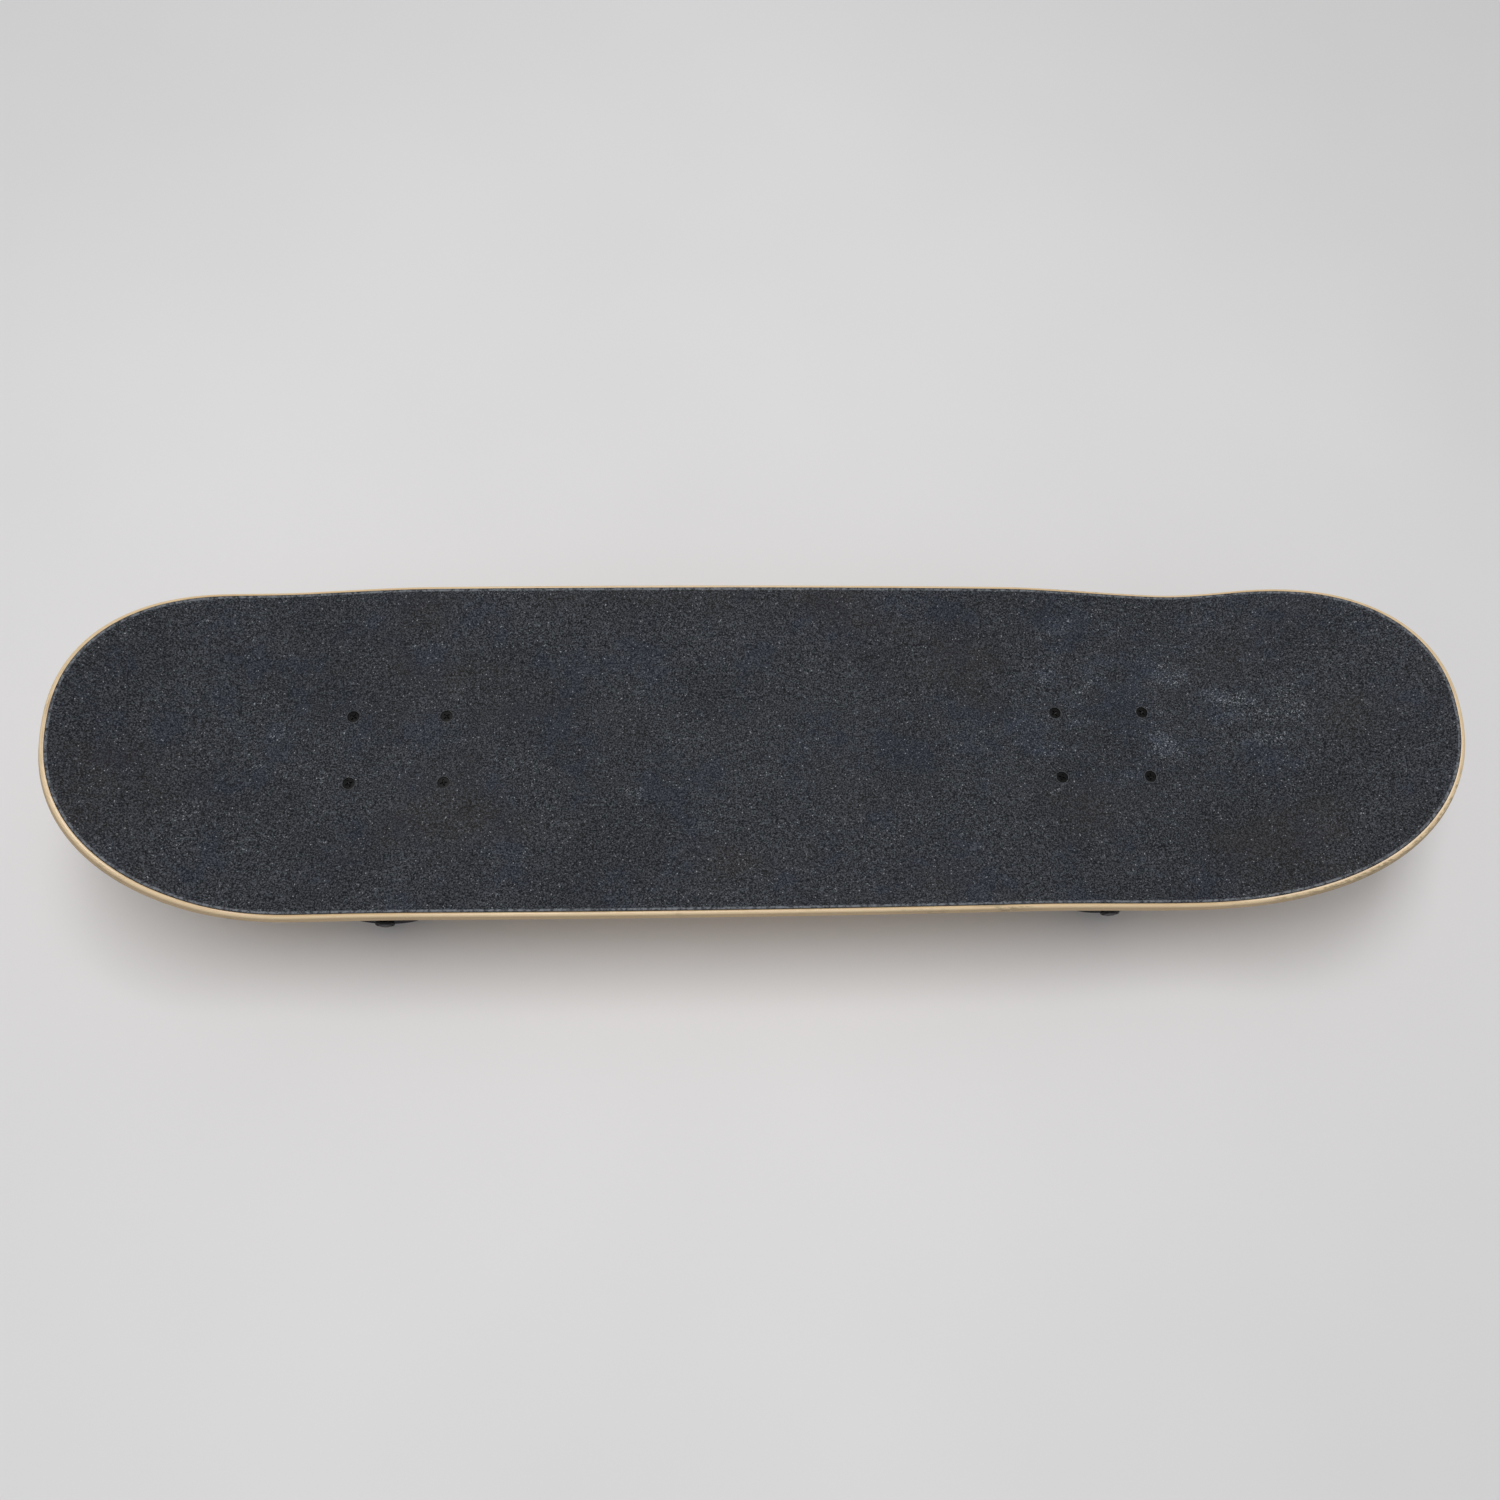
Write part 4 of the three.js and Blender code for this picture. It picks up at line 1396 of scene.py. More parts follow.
@dataclass(frozen=True)
class BoltPattern:
    """The eight deck bolts' places, and the countersunk holes that they need."""

    half_length: float = 26.99
    half_width: float = 20.64
    wheelbase: float = 365.0
    shank: float = 2.4
    head: float = 3.6
    head_edge: float = 0.5
    cone: float = 1.6
    length: float = 25.4
    sunk: float = 0.6
    cut_past: float = 5.0
    hole_sides: int = 48

    @property
    def truck_x(self) -> float:
        """Distance of a truck's middle from the middle of the wheelbase."""
        return self.wheelbase / 2 + self.half_length

    def corners(self, end: End) -> list[tuple[int, float, float]]:
        """The number and place of each bolt of one truck, in the deck's own frame.

        Args:
            end: The end that the truck is at.

        Returns:
            Each bolt's number, from 1 to 4, and its X and Y.
        """
        places = []
        for row, length in enumerate((1, -1)):
            for column, width in enumerate((1, -1)):
                x = end.value * (self.truck_x + length * self.half_length)
                places.append((2 * row + column + 1, x, end.value * width * self.half_width))
        return places

    def drill(self, shape: DeckShape) -> bpy.types.Object:
        """A tool that cuts all eight holes.

        Args:
            shape: The deck's shape.

        Returns:
            An object that is removed after the cut.
        """
        edge = self.sunk + self.head_edge + GAP
        low = -shape.underside - self.cut_past
        profile = [
            (0, low),
            (self.shank + GAP, low),
            (self.shank + GAP, -edge - self.cone),
            (self.head + GAP, -edge),
            (self.head + GAP, self.cut_past),
            (0, self.cut_past),
        ]
        places = [place for end in End for place in self.corners(end)]
        hole = turned(profile, self.hole_sides)
        holes = [hole.moved(Matrix.Translation(shape.here(x, y))) for _, x, y in places]
        return put("hole_tool", closed_mesh("hole_tool", together(holes)))


# Round a hole, points nearer than the first count as lying as far inside the edge as the second.
CLEAR_OF_HOLES = 6
FAR_INSIDE = 50
# Enough of the tool's corners to measure from.
CORNER_STEP = 7


def drilled(mesh: bpy.types.Mesh, tool: bpy.types.Object) -> bpy.types.Mesh:
    """A mesh with the tool cut out of it, keeping its numbers clear of the edge's round the holes.

    Args:
        mesh: The whole layer.
        tool: The object to cut with.

    Returns:
        A new mesh.
    """
    blank = put("blank", mesh)
    cut = blank.modifiers.new("holes", "BOOLEAN")
    cut.object = tool
    cut.operation = "DIFFERENCE"
    cut.solver = "EXACT"
    made = with_modifiers(blank)
    bpy.data.objects.remove(blank)
    points = numbers_of(made.vertices, "co", 3)[:, None, :2]
    corners = np.unique(np.round(numbers_of(tool.data.vertices, "co", 3)[:, :2], 6), axis=0)
    reach = np.abs(points - corners[None, ::CORNER_STEP]).max(axis=2).min(axis=1)
    insets = numbers_of(made.attributes["inset"].data, "value")
    insets[reach < CLEAR_OF_HOLES * MM] = FAR_INSIDE * MM
    made.attributes["inset"].data.foreach_set("value", insets)
    return made


@dataclass
class Deck:
    """The pressed seven-ply deck, with its sanded edge."""

    shape: DeckShape
    top_edge: tuple[float, float] = (1.6, 2.0)
    low_edge: tuple[float, float] = (2.2, 2.8)
    top_steps: int = 5
    low_steps: int = 7
    wall_rows: tuple[float, ...] = (0.25, 0.5, 0.75)
    insets: tuple[float, ...] = (2.2, 3.2, 5, 8, 12, 18, 25, 33, 42, 52, 63, 74, 85)
    edge_from: float = 0.02
    edge_to: float = 0.985
    edge_inset: float = 3

    def section(self) -> Profile:
        """The section's insets and depths, its upper and lower edges quarter ellipses.

        Returns:
            Insets and depths, from the spine out to the edge and back.
        """
        top = self.shape.deck_top
        low = self.shape.underside
        spine = self.shape.spine_inset
        upper = quarter((0, 0), (1, 1), 90, 0, self.top_steps)
        lower = quarter((0, 0), (1, 1), 0, 90, self.low_steps)
        inset, drop = self.top_edge
        low_inset, rise = self.low_edge
        wall = self.shape.thickness - drop - rise
        return [
            (spine, top),
            (spine, top),
            *[(each, top) for each in reversed(self.insets)],
            *[(inset * (1 - c), top + drop * (1 - s)) for c, s in upper],
            *[(0.0, top + drop + share * wall) for share in self.wall_rows],
            *[(low_inset * (1 - c), low - rise * (1 - s)) for c, s in lower],
            *[(each, low) for each in self.insets[1:]],
            (spine, low),
            (spine, low),
        ]

    def build(self, tool: bpy.types.Object) -> None:
        """Makes the deck and dresses its faces and its edge.

        Args:
            tool: The tool that cuts the bolt holes.
        """
        shell, numbers = self.shape.layer(self.section())
        mesh = drilled(closed_mesh("deck_wood", shell, numbers), tool)
        piece = add_piece("deck_wood", mesh, "board", MAPLE_FACE, "maple")
        mesh.materials.append(MAPLE_EDGE.material())
        starts = numbers_of(mesh.polygons, "loop_start", kind=np.int32)
        corners = numbers_of(mesh.loops, "vertex_index", kind=np.int32)
        counts = np.diff(np.append(starts, len(corners)))
        depth, inset = (
            np.add.reduceat(numbers_of(mesh.attributes[label].data, "value")[corners], starts) / counts
            for label in ("depth", "inset")
        )
        share = depth / (self.shape.thickness * MM)
        is_edge = (share > self.edge_from) & (share < self.edge_to) & (inset < self.edge_inset * MM)
        mesh.polygons.foreach_set("material_index", is_edge.astype(np.int32))
        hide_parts("deck")


@dataclass
class GripTape:
    """The sheet of abrasive tape, with the torn rims that its bolt holes leave."""

    shape: DeckShape
    bolts: BoltPattern
    inset: float = 2.2
    near_steps: tuple[float, ...] = (0.15, 0.35, 0.55, 0.8, 1.1)
    far_steps: tuple[float, ...] = (1.5, 2, 3, 5, 8, 12, 18, 25, 33, 42, 52, 63, 74, 85)
    rim_sides: int = 72
    rim_clear: float = 0.02
    rim_width: float = 0.42
    rim_wavers: tuple[tuple[float, int, int], ...] = ((0.12, 3, 1), (0.08, 7, 2))
    rim_crest: float = 0.12
    crest_waver: tuple[float, int] = (0.04, 5)
    rim_root: float = -0.85
    rim_top: float = 0.02
    rim_edge: float = -0.1

    def build(self, tool: bpy.types.Object) -> None:
        """Makes the tape and its rims.

        Args:
            tool: The tool that cuts the bolt holes.
        """
        spine = self.shape.spine_inset
        near = [self.inset + step for step in self.near_steps]
        far = [self.inset + step for step in self.far_steps]
        low = self.shape.tape
        section = [
            (spine, 0.0),
            (spine, 0.0),
            *[(row, 0.0) for row in reversed([*near, *far])],
            (self.inset + 0.04, 0.08),
            (self.inset, 0.25),
            (self.inset, low),
            *[(row, low) for row in far],
            (spine, low),
            (spine, low),
        ]
        shell, numbers = self.shape.layer(section)
        mesh = drilled(closed_mesh("tape", shell, numbers), tool)
        piece = add_piece("tape", mesh, "board", TAPE_GRIT, "grip")
        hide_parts("grip_tape")
        self.rims()

    def rims(self) -> None:
        """Torn rims: rings whose width and height waver as sums of sines round each hole."""
        angle = around(self.rim_sides)
        level = np.zeros_like(angle)
        inner = level + self.bolts.head + self.rim_clear
        size, waves = self.crest_waver
        rims = []
        for number, (_, x, y) in enumerate(place for end in End for place in self.bolts.corners(end)):
            wavers = [rise * np.sin(count * angle + shift * number) for rise, count, shift in self.rim_wavers]
            waver = sum(wavers)
            outer = self.bolts.head + self.rim_width + waver
            crest = self.rim_crest + size * np.sin(waves * angle + number)
            radius = np.concatenate([inner, inner, (inner + outer) / 2, outer])
            root, top, edge = (level + each for each in (self.rim_root, self.rim_top, self.rim_edge))
            height = np.concatenate([root, top, crest, edge])
            rims.append(lathe(radius, height).moved(Matrix.Translation(self.shape.here(x, y))))
        mesh = closed_mesh("tape_hole_rims", together(rims))
        add_piece("tape_hole_rims", mesh, "board", TAPE_PAPER, "grip")


# ---- Fasteners -----------------------------------------------------------------------------------------


# How far a row must pass the hexagon's corners to leave them sharp.
CORNER_CLEAR = 0.01
# A thread's climb in one turn, the rows in that climb, and how much narrower its last row is.
THREAD_PITCH = 1.06
THREAD_ROWS = 6
THREAD_CHAMFER = 0.35


def hexagon_radius(size: float, angle: Array) -> Array:
    """Distance from the middle to a hexagon's side: half the size across, over the cosine of the turn."""
    turn = np.mod(angle, np.pi / 3) - np.pi / 6
    return size / 2 / np.cos(turn)


def hexagonal(size: float, rows: Sequence[tuple[float, float]], sides: int = 72) -> Shell:
    """A hexagonal piece whose section at each height is the hexagon or a circle, whichever is smaller.

    Args:
        size: Size across the flats.
        rows: The circle's radius and the height of each row.
        sides: Steps round the axis.

    Returns:
        The closed shell about Z.
    """
    radius, height = np.array(rows, float).T
    return lathe(np.minimum(hexagon_radius(size, around(sides)), radius[:, None]), across(height, sides))


@dataclass(frozen=True)
class LockNut:
    """A hexagonal nut with chamfered corners and a round collar that holds a nylon ring."""

    size: float
    height: float
    bore: float
    collar: float = 0.28
    lip_inset: float = 0.45
    ring_share: float = 0.55

    @property
    def shoulder(self) -> float:
        """Height at which the collar starts."""
        return self.height * (1 - self.collar)

    @property
    def lip(self) -> float:
        """Outer radius of the collar."""
        return self.size / 2 - self.lip_inset

    @property
    def ring(self) -> float:
        """Outer radius of the nylon ring's seat."""
        return self.bore + self.ring_share * (self.lip - self.bore)

    def body(self) -> Shell:
        """The steel nut about Z, its seat on z = 0 and its collar upwards.

        Returns:
            The closed shell.
        """
        corner = self.size / math.sqrt(3) + CORNER_CLEAR
        flat = self.size / 2
        return hexagonal(
            self.size,
            [
                (self.bore, 0.0),
                (flat - 0.25, 0.0),
                (flat + 0.15, 0.18),
                (corner, 0.5),
                (corner, self.shoulder - 0.75),
                (flat + 0.15, self.shoulder - 0.22),
                (flat - 0.2, self.shoulder),
                (self.lip, self.shoulder + 0.1),
                (self.lip, self.height - 0.35),
                (self.lip - 0.3, self.height),
                (self.ring + 0.15, self.height - 0.1),
                (self.ring, self.height - 0.3),
                (self.ring, self.shoulder - 0.2),
                (self.bore + 0.05, self.shoulder - 0.2),
            ],
        )

    def insert(self) -> Shell:
        """The nylon ring in the collar."""
        low = self.shoulder - 0.15
        return turned(rounded_ring(self.bore + 0.04, self.ring - 0.02, low, self.height - 0.25, 0.2), 48)


def threaded(radius: float, depth: float, low: float, high: float, sides: int) -> tuple[Array, Array]:
    """A screw thread's rows: the radius falls by the depth along a triangle wave that climbs with the angle.

    Args:
        radius: Outer radius.
        depth: Depth of the thread.
        low: Height of the thread's start.
        high: Height of its end.
        sides: Steps round the axis.

    Returns:
        The radii and the heights on a grid of rows and angles.
    """
    rows = int((high - low) / THREAD_PITCH * THREAD_ROWS) + 1
    height = across(np.linspace(low, high, rows), sides)
    turn = np.linspace(0, 1, sides, endpoint=False)[None, :]
    wave = np.abs(2 * np.mod(height / THREAD_PITCH - turn, 1) - 1)
    fade = np.clip(np.minimum(height - low, high - height) / THREAD_PITCH, 0, 1)
    return radius - depth * wave * fade - THREAD_CHAMFER * (height >= high), height


@dataclass
class DeckBolts:
    """The countersunk bolts and their lock nuts under both trucks."""

    shape: DeckShape
    bolts: BoltPattern
    slot_length: float = 2.0
    slot_width: float = 0.52
    slot_depth: float = 1.3
    slot_narrowing: float = 0.25
    slot_rise: float = 0.55
    slot_wall: float = 0.16
    slot_end: float = 0.25
    crown: float = 0.06
    head_rows: int = 26
    head_rim: float = 0.25
    sides: int = 96
    nut: LockNut = LockNut(size=9.5, height=5.6, bore=2.45)
    plate: float = 7.0
    turn_by_number: float = 37
    turn_by_end: float = 11

    def bolt(self) -> Shell:
        """A bolt about Z with its top on z = 0.

        The cross recess sinks by its depth times a smooth step on the distance inside the nearer of
        two crossed slots, whose width narrows outwards, and it is shallower towards the slots' ends.

        Returns:
            The closed shell.
        """
        size = self.bolts
        angle = around(self.sides)
        flat = across(np.linspace(0.0, size.head - self.head_rim, self.head_rows), self.sides)
        x = np.abs(flat * np.cos(angle))
        y = np.abs(flat * np.sin(angle))
        along = np.maximum(x, y) / self.slot_length
        width = self.slot_width * (1 - self.slot_narrowing * along)
        end = self.slot_length * (1 - along)
        wall = smooth_step((width - np.minimum(x, y)) / self.slot_wall + 0.5)
        sink = self.slot_depth * wall * smooth_step(end / self.slot_end + 0.5) * (1 - self.slot_rise * along)
        below = [
            (size.head - 0.08, -0.14),
            (size.head, -0.3),
            (size.head, -size.head_edge),
            (size.shank, -size.head_edge - size.cone),
            (size.shank, -size.length + 0.6),
            (size.shank - 0.5, -size.length),
            (0.0, -size.length),
        ]
        radius, height = np.array(below).T
        top = -self.crown * (flat / size.head) ** 2 - sink
        radii = np.concatenate([flat, across(radius, self.sides)])
        return lathe(radii, np.concatenate([top, across(height, self.sides)]))

    def build(self) -> None:
        """Makes each bolt, its nut and the nut's nylon ring."""
        bolt = self.bolt()
        body = self.nut.body()
        insert = self.nut.insert()
        flip = Matrix.Rotation(math.pi, 4, "X")
        drop = self.shape.underside + self.plate + 2 * GAP
        for end in End:
            for number, x, y in self.bolts.corners(end):
                name = f"{end.label}_bolt_{number}"
                degrees = self.turn_by_number * number + self.turn_by_end * end.value
                turn = Matrix.Rotation(math.radians(degrees), 4, "Z")
                above = Matrix.Translation(self.shape.here(x, y, -self.bolts.sunk)) @ turn
                whole = closed_mesh(name, bolt.moved(above))
                piece = add_piece(f"{name}_cross_head", whole, "board", BLACK_OXIDE, "black_bolt")
                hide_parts(name)
                under = Matrix.Translation(self.shape.here(x, y, -drop)) @ turn @ flip
                nut_name = f"{end.label}_bolt_nut_{number}"
                steel = closed_mesh(nut_name, body.moved(under))
                piece = add_piece(f"{nut_name}_steel", steel, "board", ZINC, "plated_steel")
                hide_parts(nut_name)
                nylon = closed_mesh("nylon", insert.moved(under))
                add_piece(f"{nut_name}_nylon", nylon, "board", NYLON, "plated_steel")


# ---- Trucks --------------------------------------------------------------------------------------------


# Share of the way that each pass moves a point to its neighbours' average.
SMOOTHING = 0.5


def facing(side: int) -> Matrix:
    """Turns a piece that faces along +Y on the axle to face the given side."""
    return Matrix.Identity(4) if side > 0 else Matrix.Rotation(math.pi, 4, "X")


def softened(node: str, voxel: float, passes: int) -> bpy.types.Mesh:
    """A casting's mesh with its edges and inner corners rounded.

    A merged copy of the node is filled with small cubes and its surface is averaged several times.

    Args:
        node: The CAD node to copy.
        voxel: Size of the cubes in millimetres.
        passes: How many times the surface is averaged.

    Returns:
        The rounded mesh.
    """
    mesh = frame["nodes"][node].data.copy()
    work = bmesh.new()
    work.from_mesh(mesh)
    bmesh.ops.remove_doubles(work, verts=work.verts, dist=NODE_MERGE)
    work.to_mesh(mesh)
    work.free()
    blank = put("blank", mesh)
    fill = blank.modifiers.new("fill", "REMESH")
    fill.mode = "VOXEL"
    fill.voxel_size = voxel * MM
    ease = blank.modifiers.new("ease", "SMOOTH")
    ease.factor = SMOOTHING
    ease.iterations = passes
    made = with_modifiers(blank)
    bpy.data.objects.remove(blank)
    return made


@dataclass
class Truck:
    """One truck: its baseplate, kingpin stack, hanger, axle and wheels."""

    end: End
    shape: DeckShape
    bolts: BoltPattern
    lean: float = 22.0
    kingpin_x: float = 3.0
    pivot_x: float = 27.0
    pivot_drop: float = 13.5
    axle_outboard: float = 14.0
    axle_drop: float = 53.5
    ring_middle: float = 32.45
    kingpin_radius: float = 4.76
    kingpin_end: float = 57.2
    head: tuple[float, float] = (4.2, 9.2)
    kingpin_hex: float = 14.3
    nut_top: float = 47.9
    axle_radius: float = 3.95
    axle_half: float = 89.5
    wheel_y: float = 67.5
    casting_voxel: float = 0.75
    casting_passes: int = 5
    casting_crease: float = 60.0
    kingpin_thread: float = 0.45
    kingpin_nut_height: float = 7.6
    axle_thread: float = 0.4
    axle_thread_length: float = 9.7
    axle_nut: LockNut = LockNut(size=12.7, height=7.5, bore=4.03)
    axle_nut_seat: float = 13.7
    washer_radius: float = 7.5
    washer_edge: float = 0.2
    outer_washer: tuple[float, float] = (12.35, 13.4)
    inner_washer: tuple[float, float] = (-13.1, -12.3)
    kingpin_sides: int = 72
    axle_sides: int = 48
    barrel_bend: tuple[float, float] = (15.5, 28.0)
    cone_bend: tuple[float, float] = (45.6, 37.0)

    @property
    def label(self) -> str:
        """The name that this truck's pieces start with."""
        return self.end.label

    @property
    def hanger_body(self) -> str:
        """The body that the hanger's pieces ride on."""
        return f"{self.label}_hanger"

    def matrix(self) -> Matrix:
        """From the truck's own frame, on the deck's underside with +X outboard, to the row frame.

        Returns:
            The matrix, in millimetres.
        """
        here = self.shape.here(self.end.value * self.bolts.truck_x, 0, -self.shape.underside)
        turn = 0.0 if self.end is End.NOSE else math.pi
        return Matrix.Translation(here) @ Matrix.Rotation(turn, 4, "Z")

    def axis(self, axis: Axis) -> Matrix:
        """Carries a piece made about Z onto one of the truck's lines.

        Heights run down the kingpin from the deck's underside, outboard along the pivot's line from
        the middle of the stem's tip, and along the axle from its middle.

        Args:
            axis: The line.

        Returns:
            The matrix into the row frame, in millimetres.
        """
        lean = math.radians(self.lean)
        down = Vector((-math.sin(lean), 0, -math.cos(lean)))
        top = Vector((self.kingpin_x, 0, 0))
        pivot = Vector((self.pivot_x, 0, -self.pivot_drop))
        lines = {
            Axis.KINGPIN: (top, down),
            Axis.PIVOT: (pivot, (pivot - top - down * self.ring_middle).normalized()),
            Axis.AXLE: (Vector((self.axle_outboard, 0, -self.axle_drop)), Vector((0, 1, 0))),
        }
        origin, direction = lines[axis]
        turn = Vector((0, 0, 1)).rotation_difference(direction).to_matrix().to_4x4()
        return self.matrix() @ Matrix.Translation(origin) @ turn

    def add(
        self, name: str, shell: Shell, axis: Axis, body: str, finish: Finish, slot: str, *nodes: str
    ) -> bpy.types.Object:
        """Places a piece about one of the truck's lines, standing for the CAD nodes named.

        Args:
            name: The piece's name after the end's.
            shell: The piece about Z.
            axis: The line it is placed about.
            body: The body it rides on.
            finish: Its finish.
            slot: The name of a material slot, passed on to add_piece, which does not use it.
            nodes: The CAD nodes it stands for, after the end's name.

        Returns:
            The piece's object.
        """
        mesh = closed_mesh(name, shell.moved(self.axis(axis)))
        piece = add_piece(f"{self.label}_{name}", mesh, body, finish, slot)
        if nodes:
            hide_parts(*[f"{self.label}_{node}" for node in nodes])
        return piece

    def castings(self) -> None:
        """The baseplate and the hanger, with the rounded corners of castings."""
        for node, body in (("baseplate", "board"), ("hanger", self.hanger_body)):
            mesh = softened(f"{self.label}_{node}", self.casting_voxel, self.casting_passes)
            piece = add_piece(f"{self.label}_{node}_casting", mesh, body, CASTING, "truck_casting")
            shade(mesh, self.casting_crease)
            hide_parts(f"{self.label}_{node}")

    def kingpin(self) -> None:
        """The kingpin with its hexagonal head and its thread, and the lock nut on it."""
        top, bottom = self.head
        radius = self.kingpin_radius
        corner = self.kingpin_hex / math.sqrt(3) + CORNER_CLEAR
        sides = self.kingpin_sides
        rows = [
            (0.0, top),
            (self.kingpin_hex / 2 - 0.2, top),
            (corner, top + 0.7),
            (corner, bottom),
            (radius + 0.6, bottom),
            (radius, bottom + 0.6),
            (radius, self.nut_top - 3),
        ]
        width, height = np.array(rows).T
        plain = np.minimum(hexagon_radius(self.kingpin_hex, around(sides)), width[:, None])
        start, end = self.nut_top - 2.9, self.kingpin_end - 0.4
        thread, climb = threaded(radius, self.kingpin_thread, start, end, sides)
        radii = np.concatenate([plain, thread, across([radius - 0.9, 0.0], sides)])
        heights = np.concatenate([across(height, sides), climb, across([self.kingpin_end] * 2, sides)])
        nut = LockNut(self.kingpin_hex, self.kingpin_nut_height, radius + 0.1)
        lift = Matrix.Translation((0, 0, self.nut_top))
        body, finish, slot = "board", DARK_STEEL, "kingpin_steel"
        self.add("kingpin_bolt", lathe(radii, heights), Axis.KINGPIN, body, finish, slot, "kingpin")
        self.add("kingpin_lock_nut", nut.body().moved(lift), Axis.KINGPIN, body, finish, slot, "kingpin_nut")
        self.add("kingpin_nylon", nut.insert().moved(lift), Axis.KINGPIN, body, NYLON, "plated_steel")

    def washers(self) -> None:
        """The two cupped washers that hold the bushings: a flat ring whose edge turns over the bushing."""
        hole = self.kingpin_radius + 0.15
        board = [
            (hole, 13.35),
            (12.0, 13.35),
            *quarter((12.0, 14.45), (1.1, 1.1), -90, 0, 4),
            (13.1, 16.2),
            *quarter((12.75, 16.2), (0.35, 0.35), 0, 180, 4),
            *quarter((11.8, 14.95), (0.6, 0.6), 0, -90, 3)[1:],
            (hole, 14.5),
        ]
        road = [
            (hole, 47.55),
            (9.4, 47.55),
            *quarter((9.4, 46.6), (0.95, 0.95), 90, 0, 4),
            (10.35, 45.4),
            *quarter((10.0, 45.4), (0.35, 0.35), 0, -180, 4),
            *quarter((9.15, 46.0), (0.5, 0.4), 0, 90, 3)[1:],
            (hole, 46.4),
        ]
        slot = "plated_steel"
        for name, profile in (("board_side", board), ("road_side", road)):
            shell = turned(profile, self.kingpin_sides)
            self.add(f"cup_washer_{name}", shell, Axis.KINGPIN, "board", ZINC, slot, f"washer_{name}")

    def bushings(self) -> None:
        """The barrel and cone bushings, whose sides swell a little."""
        hole = self.kingpin_radius + 0.2
        board = [
            (hole, 14.9),
            *quarter((10.9, 15.9), (1.0, 1.0), -90, -5, 4),
            (12.15, 18.5),
            (12.3, 21.6),
            (12.15, 24.8),
            *quarter((10.9, 27.4), (1.05, 1.0), 5, 90, 4),
            (hole, 28.4),
        ]
        road = [
            (hole, 36.5),
            *quarter((9.7, 37.4), (0.9, 0.9), -90, 0, 4),
            (10.75, 38.6),
            (10.35, 41.2),
            (9.5, 43.8),
            *quarter((8.1, 45.3), (0.8, 0.7), 15, 90, 4),
            (hole, 46.0),
        ]
        line = self.axis(Axis.KINGPIN)
        body, slot = "board", "bushing_urethane"
        sides = (("board_side", board, self.barrel_bend), ("road_side", road, self.cone_bend))
        for name, profile, ends in sides:
            shell = turned(profile, self.kingpin_sides)
            label = f"bushing_{name}"
            piece = self.add(f"soft_{label}", shell, Axis.KINGPIN, body, BUSHING_BLACK, slot, label)
            piece.parent = None
            self.hanger_body
            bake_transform(piece)

    def pivot_cup(self) -> None:
        """The cup that the hanger's stem turns in."""
        profile = [
            (0.0, 8.2),
            *quarter((8.2, 7.4), (0.8, 0.8), 90, 0, 3),
            (9.0, -5.2),
            *quarter((8.4, -5.4), (0.6, 0.6), 0, -90, 3),
            (6.9, -6.0),
            (6.6, -5.6),
            *quarter((0.0, 0.0), (5.8, 5.8), 0, 90, 8)[:-1],
            (0.0, 5.8),
        ]
        shell = turned(profile)
        self.add("pivot_bush", shell, Axis.PIVOT, "board", CUP_BLACK, "cup_urethane", "pivot_cup")

    def axle(self) -> None:
        """The axle, threaded at both ends, with the lock nut and washers of each wheel."""
        radius = self.axle_radius
        sides = self.axle_sides
        end = self.axle_half
        start = end - self.axle_thread_length
        thread, climb = threaded(radius, self.axle_thread, start, end - 0.4, sides)
        cap = across([0.0, radius - 0.75], sides)
        rise = across([end, end], sides)
        plain = across([radius], sides)
        rest = across([start - 0.2], sides)
        radii = np.concatenate([cap, thread[::-1], plain, plain, thread, cap[::-1]])
        heights = np.concatenate([rise, climb[::-1], rest, -rest, -climb, -rise])
        body, slot = self.hanger_body, "plated_steel"
        self.add("axle_rod", lathe(radii, heights), Axis.AXLE, body, DARK_STEEL, slot, "axle")
        nut = self.axle_nut
        for side in (1, -1):
            hand = self.hand(side)
            out = facing(side) @ Matrix.Translation((0, 0, self.wheel_y + self.axle_nut_seat))
            steel = nut.body().moved(out)
            nylon = nut.insert().moved(out)
            self.add(f"{hand}_lock_nut", steel, Axis.AXLE, body, BLACK_OXIDE, slot, f"{hand}_axle_nut")
            self.add(f"{hand}_lock_nylon", nylon, Axis.AXLE, body, CUP_BLACK, slot)
            nodes = [f"{hand}_speed_washer"]
            for place, (low, high) in (("outer", self.outer_washer), ("inner", self.inner_washer)):
                faces = (self.wheel_y + low, self.wheel_y + high)
                ring = turned(rounded_ring(radius + 0.1, self.washer_radius, *faces, self.washer_edge))
                shell = ring.moved(facing(side))
                self.add(f"{hand}_{place}_washer", shell, Axis.AXLE, body, ZINC, slot, *nodes)
                nodes = []

    def hand(self, side: int) -> str:
        """The rider's hand on which a wheel lies, which changes over on the truck that faces the tail."""
        return "left" if side * self.end.value > 0 else "right"

    def build(self) -> None:
        """Makes every piece of the truck."""
        self.castings()
        self.kingpin()
        self.washers()
        self.bushings()
        self.pivot_cup()
        self.axle()
        for side in (1, -1):
            Wheel(self, side).build()


# ---- Wheels --------------------------------------------------------------------------------------------


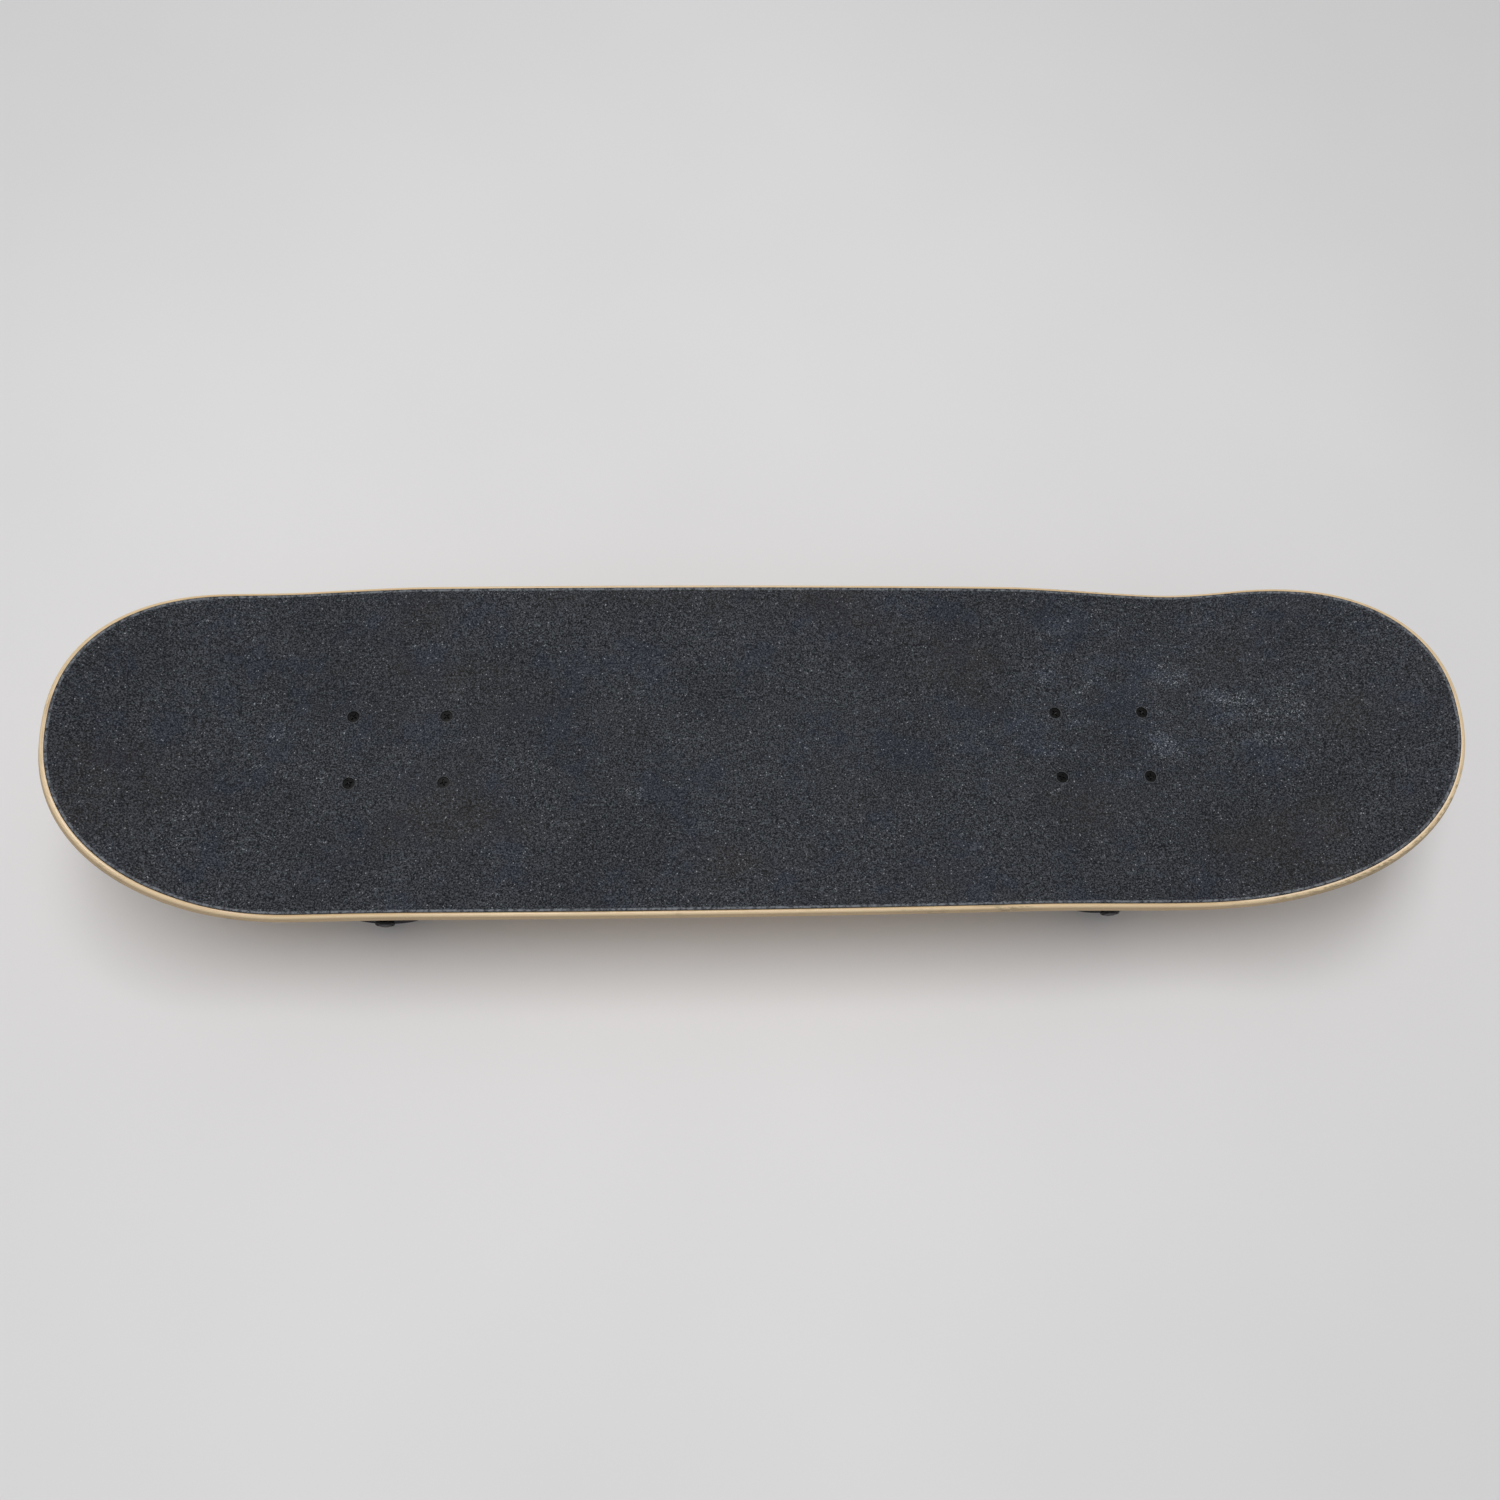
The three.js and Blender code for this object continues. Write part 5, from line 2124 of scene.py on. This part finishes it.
@dataclass
class Wheel:
    """One cast wheel and its two bearings."""

    truck: Truck
    side: int
    radius: float = 26.0
    width: float = 31.0
    lip: float = 5.0
    seat: float = 11.15
    bearing_y: float = 8.6
    bearing_half: float = 3.5
    sides: int = 128
    bearing_sides: int = 72
    outer_race: tuple[float, float] = (9.45, 11.0)
    inner_race: tuple[float, float] = (4.05, 6.05)
    outer_race_edge: float = 0.3
    inner_race_edge: float = 0.25
    shield: tuple[tuple[float, float], ...] = (
        (6.15, 0.55),
        (6.15, 0.3),
        (7.0, 0.3),
        (7.3, 0.45),
        (8.8, 0.45),
        (9.05, 0.2),
        (9.4, 0.2),
        (9.4, 0.7),
        (7.2, 0.7),
    )

    def profile(self) -> Profile:
        """The wheel's closed profile, its half repeated with the heights turned over.

        Returns:
            Radius and height pairs.
        """
        face = self.width / 2
        lip = self.radius - self.lip
        half = [
            (9.5, 0.0),
            (9.5, 4.6),
            (9.7, 4.85),
            (self.seat, 4.9),
            (self.seat, 11.9),
            (self.seat + 0.25, 12.15),
            (13.0, 12.2),
            *quarter((13.0, 13.0), (0.8, 0.8), -90, -20, 3),
            (14.6, 13.9),
            *quarter((15.7, 14.0), (0.9, 0.9), 160, 90, 4),
            (17.2, 15.0),
            (17.45, 14.75),
            (17.95, 14.75),
            (18.2, 15.1),
            (20.0, 15.35),
            *quarter((lip, face - self.lip), (self.lip, self.lip), 90, 0, 16),
            (self.radius, 4.0),
        ]
        return [*half, *[(radius, -height) for radius, height in reversed(half[1:])]]

    def build(self) -> None:
        """Makes the wheel and its bearings, and puts them on the axle."""
        hand = self.truck.hand(self.side)
        body = f"{self.truck.label}_{hand}_wheel"
        middle = facing(self.side) @ Matrix.Translation((0, 0, self.truck.wheel_y))
        wheel = turned(self.profile(), self.sides).moved(middle)
        name = f"{hand}_wheel"
        self.truck.add(f"{name}_cast", wheel, Axis.AXLE, body, WHEEL_BLACK, "wheel_urethane", name)
        for place, y in (("inner", -self.bearing_y), ("outer", self.bearing_y)):
            there = middle @ Matrix.Translation((0, 0, y))
            self.bearing(hand, place, there, body)

    def bearing(self, hand: str, place: str, there: Matrix, body: str) -> None:
        """A bearing's two races and the stepped shields between them.

        Args:
            hand: The wheel's hand.
            place: Which bearing of the wheel.
            there: Carries the bearing along the axle.
            body: The wheel's body.
        """
        half = self.bearing_half
        sides = self.bearing_sides
        races = turned(rounded_ring(*self.outer_race, -half, half, self.outer_race_edge), sides)
        races += turned(rounded_ring(*self.inner_race, -half, half, self.inner_race_edge), sides)
        outlines = [[(radius, side * (half - sunk)) for radius, sunk in self.shield] for side in (1, -1)]
        shields = together(turned(outline, sides) for outline in outlines).moved(there)
        name = f"{hand}_bearing_{place}"
        slot = "bearing_steel"
        self.truck.add(f"{name}_races", races.moved(there), Axis.AXLE, body, RACE_STEEL, slot, name)
        self.truck.add(f"{name}_shields", shields, Axis.AXLE, body, SHIELD_STEEL, slot)


# ---- Studio --------------------------------------------------------------------------------------------


@dataclass
class Studio:
    """The floor, the light and the camera."""

    floor_half: float = 6.0
    floor_drop: float = 0.0002
    lamp_power: float = 22.0
    lamp_place: tuple[float, float, float] = (-0.15, 0.06, 1.9)
    lamp_size: tuple[float, float] = (1.2, 0.55)
    sky: float = 0.51
    backdrop: Colour = (214, 213, 214)
    eye: tuple[float, float, float] = (-0.0677, -0.2899, 0.8711)
    right: tuple[float, float, float] = (0.9975, -0.0310, 0.0629)
    up: tuple[float, float, float] = (0.0073, 0.9379, 0.3469)
    lens: float = 33.74
    sensor: float = 36.0
    nearest: float = 0.01

    def floor(self) -> None:
        """A wide flat floor just under the wheels."""
        half = self.floor_half
        corners = [(x * half, y * half, -self.floor_drop) for x, y in ((-1, -1), (1, -1), (1, 1), (-1, 1))]
        mesh = bpy.data.meshes.new("floor")
        mesh.from_pydata(corners, [], [(0, 1, 2, 3)])
        mesh.materials.append(StudioFloor("studio_floor").material())
        put("floor", mesh)

    def lamp(self) -> None:
        """A broad soft lamp overhead."""
        light = bpy.data.lights.new("soft_box", "AREA")
        light.shape = "RECTANGLE"
        light.size, light.size_y = self.lamp_size
        light.energy = self.lamp_power
        lamp = put("soft_box", light)
        lamp.location = self.lamp_place
        lamp.rotation_euler = (-Vector(self.lamp_place)).to_track_quat("-Z", "Y").to_euler()
        lamp.visible_camera = False

    def world(self) -> None:
        """Even light from all round, seen as the pale backdrop by the camera and in gloss."""
        world = bpy.data.worlds.new("studio")
        world.use_nodes = True
        nodes, links = world.node_tree.nodes, world.node_tree.links
        nodes.clear()
        light = nodes.new("ShaderNodeBackground")
        light.inputs["Strength"].default_value = self.sky
        shown = nodes.new("ShaderNodeBackground")
        shown.inputs["Color"].default_value = paint(self.backdrop)
        path = nodes.new("ShaderNodeLightPath")
        seen, *others = [path.outputs[f"Is {kind} Ray"] for kind in SEEN_BY]
        for other in others:
            either = nodes.new("ShaderNodeMath")
            either.operation = "MAXIMUM"
            links.new(seen, either.inputs[0])
            links.new(other, either.inputs[1])
            seen = either.outputs["Value"]
        mixed = nodes.new("ShaderNodeMixShader")
        output = nodes.new("ShaderNodeOutputWorld")
        links.new(seen, mixed.inputs["Fac"])
        links.new(light.outputs["Background"], mixed.inputs[1])
        links.new(shown.outputs["Background"], mixed.inputs[2])
        links.new(mixed.outputs["Shader"], output.inputs["Surface"])
        bpy.context.scene.world = world

    def camera(self) -> None:
        """The camera, above the board's right side and looking down at its top."""
        data = bpy.data.cameras.new("camera")
        data.lens = self.lens
        data.sensor_width = self.sensor
        data.clip_start = self.nearest
        camera = put("camera", data)
        back = Vector(self.right).cross(Vector(self.up))
        axes = Matrix((self.right, self.up, back)).transposed().to_4x4()
        camera.matrix_world = Matrix.Translation(self.eye) @ axes
        bpy.context.scene.camera = camera

    def build(self) -> None:
        """Sets the whole studio up."""
        self.camera()
        self.floor()
        self.lamp()
        self.world()
        bpy.context.scene.view_settings.view_transform = "Standard"


def main() -> None:
    """Builds the studio and every part of the board, in order."""
    Studio().build()
    shape = DeckShape()
    bolts = BoltPattern()
    tool = bolts.drill(shape)
    Deck(shape).build(tool)
    GripTape(shape, bolts).build(tool)
    bpy.data.objects.remove(tool)
    DeckBolts(shape, bolts).build()
    for end in End:
        Truck(end, shape, bolts).build()


if __name__ == "__main__":
    main()
